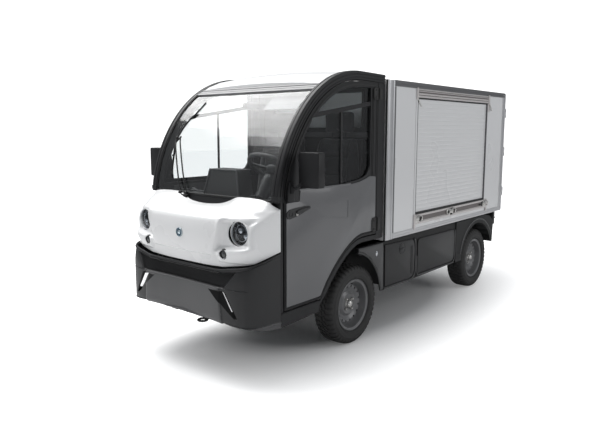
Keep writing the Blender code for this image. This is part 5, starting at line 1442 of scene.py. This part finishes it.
# ------------------------------------------------------------------ rear doors
# Two pale coated doors with a rubber gasket, each carried on three hinges and locked by a steel
# rod in keepers with a folding handle. The left one overlaps the middle gap with a cover strip.
DOOR_SKIN_D = 2.549
skin_y, back_parts, rods, gaskets = behind(DOOR_SKIN_D), [], [], []
for x0, x1, z0, z1 in ((0.012, 0.600, 0.7200, 0.7560), (0.012, 0.600, 1.8240, 1.8600),
                       (0.012, 0.046, 0.7560, 1.8240), (0.566, 0.600, 0.7560, 1.8240),
                       (0.012, 0.600, 1.2760, 1.2960)):
    back_parts.append(bar("door_frame", (x0, skin_y - 0.0005, z0), (x1, skin_y + 0.0040, z1),
                          0.0015))
for z in (0.9, 1.3, 1.68):
    back_parts.append(bar("hinge_strap", (0.470, skin_y + 0.0035, z - 0.022),
                          (0.606, skin_y + 0.0085, z + 0.022), 0.0020))
    for x in (0.495, 0.53, 0.565):
        back_parts.append(turned("strap_bolt", [(0, 0), (0, 0.007), (0.003, 0.0062),
            (0.0045, 0.003), (0.0048, 0)], 12, centre=(x, skin_y + 0.0082, z), axis=(0, 1, 0)))
both_sides(back_parts, "rear_door_trim", aluminium, REAR_DOORS)
rods.append(tube("lock_rod", [(0.120, skin_y + 0.0150, 0.7180), (0.120, skin_y + 0.0150, 1.8620)],
                 0.0085, 16))
for z in (0.745, 0.96, 1.42, 1.64, 1.835):
    rods.append(bar("rod_keeper", (0.096, skin_y + 0.0035, z - 0.016),
                    (0.144, skin_y + 0.0250, z + 0.016), 0.0030, 3))
rods.append(tube("rod_handle", smooth_path([(0.12, skin_y + 0.018, 1.16),
    (0.15, skin_y + 0.026, 1.16), (0.23, skin_y + 0.024, 1.156), (0.33, skin_y + 0.022, 1.152)],
    20), 0.0075, 14))
rods.append(bar("handle_keeper", (0.300, skin_y + 0.0035, 1.134), (0.338, skin_y + 0.0165, 1.170),
                0.0030, 3))
both_sides(rods, "lock_rod", bright_steel, REAR_DOORS, smooth=45)
for x0, x1, z0, z1 in ((0.004, 0.607, 0.7095, 0.7195), (0.004, 0.607, 1.8605, 1.8695),
                       (0.600, 0.607, 0.7195, 1.8605), (0.0035, 0.0115, 0.7195, 1.8605)):
    gaskets.append(bar("door_gasket", (x0, skin_y - 0.0010, z0), (x1, skin_y + 0.0020, z1),
                       0.0008, 1))
both_sides(gaskets, "rear_gasket", window_rubber, REAR_DOORS)
knuckles = []
for z in (0.9, 1.3, 1.68):
    for offset in (-0.03, 0.022):
        knuckles.append(turned("fixed_knuckle", [(z + offset - 0.008, 0),
            (z + offset - 0.008, 0.0062), (z + offset - 0.006, 0.0072),
            (z + offset + 0.014, 0.0072), (z + offset + 0.016, 0.0062), (z + offset + 0.016, 0)],
            16, centre=(0.609, behind(2.552), 0), axis=(0, 0, 1)))
    knuckles.append(side_plate("fixed_leaf", [(2.4990, z - 0.036), (2.5190, z - 0.036),
                                              (2.5190, z + 0.036), (2.4990, z + 0.036)],
                               0.6090, 0.6150, 0.0015))
both_sides(knuckles, "rear_knuckles", aluminium, smooth=45)

# ------------------------------------------------------------------ rear lamps and plate
# The steel bar below the doors carries a three-chamber lamp at each end, a blank number
# plate with its lamp, and the bolts that hold it to the frame.
def lens_finish(name, tone, deep):
    """Ribbed coloured lens plastic in two tones."""
    return grained_finish(name, tone, deep, 0.12, 0.06, coat=1.0, patch=60, grain_size=120,
                          depth=0.0012, strength=0.6, stretched=(1, 1, 0.1))


red_lens = lens_finish("red_lens", (0.42, 0.01, 0.008), (0.26, 0.006, 0.005))
amber_lens = lens_finish("amber_lens", (0.7, 0.2, 0.01), (0.52, 0.12, 0.006))
clear_lens = lens_finish("clear_lens", (0.62, 0.63, 0.64), (0.42, 0.43, 0.44))
bar_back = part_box("rear_lamp_bar")[1][1]
for x, material, label in ((0.500, amber_lens, "turn"), (0.420, red_lens, "brake"),
                           (0.340, clear_lens, "reverse")):
    lens = bar(label + "_lens", (x - 0.038, bar_back - 0.001, 0.594),
               (x + 0.038, bar_back + 0.022, 0.662), 0.008, 4)
    both_sides(lens, label + "_lens", material, smooth=45)
housing = [bar("lamp_housing", (0.296, bar_back - 0.002, 0.584), (0.544, bar_back + 0.012, 0.672),
               0.006, 3)]
for x in (0.24, 0.555):
    housing.append(turned("bar_bolt", [(0, 0), (0, 0.0095), (0.006, 0.0095), (0.0075, 0.0075),
        (0.0075, 0)], 6, centre=(x, bar_back, 0.625), axis=(0, 1, 0)))
both_sides(housing, "lamp_housing", satin_black)
plate_blank = bar("number_plate", (-0.160, bar_back - 0.001, 0.566), (0.160, bar_back + 0.004,
                                                                      0.676), 0.0025, 3)
plate_white = grained_finish("plate_white", (0.74, 0.74, 0.72), (0.80, 0.80, 0.78), 0.35,
                             coat=0.3, patch=12, grain_size=200, strength=0.1)
fitted(plate_blank, plate_white, "body")
plate_lamp = bar("plate_lamp", (-0.045, bar_back - 0.002, 0.678), (0.045, bar_back + 0.026, 0.690),
                 0.004, 3)
fitted(plate_lamp, satin_black, "body")

# ------------------------------------------------------------------ side covers
# Ribbed charcoal covers hide the battery along each side: two shaped panels with rolled lower
# edges, a round charging cap, a front flare behind the wheel and a lipped rear mudguard.
cover_plastic = grained_finish("cover_plastic", (0.013, 0.013, 0.0135), (0.018, 0.018, 0.0185),
                               0.40, 0.1, patch=3, grain_size=900, strength=0.2, gloss=0.4)
cover_front = side_plate("cover_front", [(0.366, 0.345), (0.74, 0.338), (0.775, 0.346),
    (0.798, 0.366), (0.81, 0.4), (0.814, 0.56), (0.806, 0.61), (0.788, 0.64), (0.764, 0.652),
    (0.36, 0.664)], 0.5795, 0.588, 0.004, 3)
cover_rear = side_plate("cover_rear", [(0.868, 0.352), (1.48, 0.346), (1.512, 0.356), (1.53, 0.38),
    (1.538, 0.56), (1.53, 0.612), (1.508, 0.634), (0.9, 0.64), (0.872, 0.632), (0.862, 0.6)],
    0.5795, 0.588, 0.004, 3)
flare = side_plate("wheel_flare", [(0.018, 0.668), (0.018, 0.688), (0.332, 0.686), (0.338, 0.64),
    (0.344, 0.33), (0.316, 0.33), (0.302, 0.398), (0.256, 0.502), (0.17, 0.598), (0.09, 0.645)],
    0.5795, 0.5865, 0.0035, 3)
bead = [tube("cover_bead", smooth_path([(0.583, behind(d), z) for d, z in ((0.352, 0.33),
    (0.56, 0.328), (0.745, 0.324), (0.792, 0.334), (0.822, 0.366), (0.83, 0.42), (0.832, 0.56),
    (0.824, 0.62), (0.806, 0.652))], 40), 0.0075, 12), tube("cover_bead",
    smooth_path([(0.583, behind(d), z) for d, z in ((0.85, 0.5), (0.852, 0.4), (0.862, 0.35),
    (0.9, 0.336), (1.2, 0.334), (1.49, 0.33), (1.528, 0.342), (1.548, 0.374), (1.554, 0.56),
    (1.545, 0.625))], 40), 0.007, 12), tube("cover_bead", smooth_path(
    [(0.583, behind(d), z) for d, z in ((0.01, 0.664), (0.085, 0.636), (0.165, 0.588),
    (0.248, 0.494), (0.296, 0.394), (0.31, 0.326))], 30), 0.006, 12)]
REAR_AXLE_D, GUARD_R = 2.03, 0.386
guard = [(REAR_AXLE_D + GUARD_R * math.cos(math.radians(a)),
          WHEEL_R + GUARD_R * math.sin(math.radians(a))) for a in range(165, 12, -9)]
bead.append(tube("guard_lip", smooth_path([(0.5850, behind(d), max(z, 0.33)) for d, z in guard],
                                          48), 0.0085, 12))
both_sides([cover_front, cover_rear], "side_cover", cover_plastic, smooth=40)
flare_plastic = grained_finish("flare_plastic", (0.040, 0.040, 0.041), (0.055, 0.055, 0.056),
                               0.34, 0.1, patch=3, grain_size=900, strength=0.2, gloss=0.5)
both_sides([flare] + bead, "wheel_flare", flare_plastic, smooth=40)
ribs = [side_plate("cover_rib", [(d, 0.372), (d + 0.010, 0.372), (d + 0.010, 0.600), (d, 0.600)],
                   0.5870, 0.5900, 0.0012, 1) for d in (0.752, 0.772)]
ribs.append(turned("charge_cap", [(0.587, 0), (0.587, 0.046), (0.5905, 0.045), (0.592, 0.041),
    (0.5895, 0.0385), (0.589, 0.032), (0.5915, 0.03), (0.5925, 0.012), (0.5955, 0.01),
    (0.5955, 0)], 40, centre=(0, behind(0.612), 0.6)))
ribs.append(bar("cap_grip", (0.5920, behind(0.584), 0.5960), (0.5975, behind(0.640), 0.6040),
                0.0020, 3))
both_sides(ribs, "charge_cap", grained_plastic, smooth=40)
clip = turned("flare_clip", [(0.5860, 0), (0.5860, 0.0120), (0.5895, 0.0110), (0.5915, 0.0070),
                             (0.5920, 0)], 24, centre=(0, behind(0.245), 0))
clip = put(clip, moved((0, 0, 0.618)) @ Matrix.Diagonal((1, 1, 1.8, 1)))
both_sides(clip, "flare_clip", lamp_chrome, smooth=60)

# ------------------------------------------------------------------ under the body
# Leaf springs with clips and shackles sit over the rear axle, and a motor with cooling ribs
# hangs by the rear axle. They are bolted up and have no joint.
def spring_leaf(number):
    """The middle line of a spring leaf; each is lower and shorter than the one before."""
    low, half = 0.415 - number * 0.0095, 0.4 - number * 0.085
    return smooth_path([(0.420, behind(REAR_AXLE_D + half * t), low + 0.055 * t * t)
                        for t in (-1, -0.5, 0, 0.5, 1)], 18)


springs = []
for number in range(4):
    centre_line = spring_leaf(number)
    outline = [point + Vector((0, 0, 0.0036)) for point in centre_line]
    outline += [point - Vector((0, 0, 0.0036)) for point in reversed(centre_line)]
    springs.append(plate("leaf", [tuple(point - Vector((0.025, 0, 0))) for point in outline],
                         (0.050, 0, 0), 0.0010, 1))
for d in (1.94, 2.12):
    springs.append(bar("spring_clip", (0.391, behind(d), 0.372), (0.449, behind(d + 0.018), 0.424),
                       0.0030))
for d in (1.96, 2.1):
    springs.append(tube("u_bolt", smooth_path([(0.386, behind(d), 0.29), (0.386, behind(d), 0.4),
        (0.392, behind(d), 0.428), (0.448, behind(d), 0.428), (0.454, behind(d), 0.4),
        (0.454, behind(d), 0.29)], 26), 0.0055, 10))
for d in (1.632, 2.428):
    springs.append(bar("shackle", (0.396, behind(d - 0.012), 0.455),
                       (0.444, behind(d + 0.012), 0.560), 0.006, 3))
both_sides(springs, "leaf_spring", black_steel, smooth=40)
motor = turned("drive_motor", [(-0.15, 0), (-0.15, 0.07), (-0.14, 0.082)]
    + [(-0.13 + 0.02 * k + dx, r) for k in range(12) for dx, r in ((0, 0.086), (0.003, 0.094),
    (0.011, 0.094), (0.014, 0.086))] + [(0.125, 0.082), (0.135, 0.06), (0.135, 0)], 40,
    centre=(0, behind(1.86), 0.33))
fitted(motor, aluminium, "body", smooth=35)
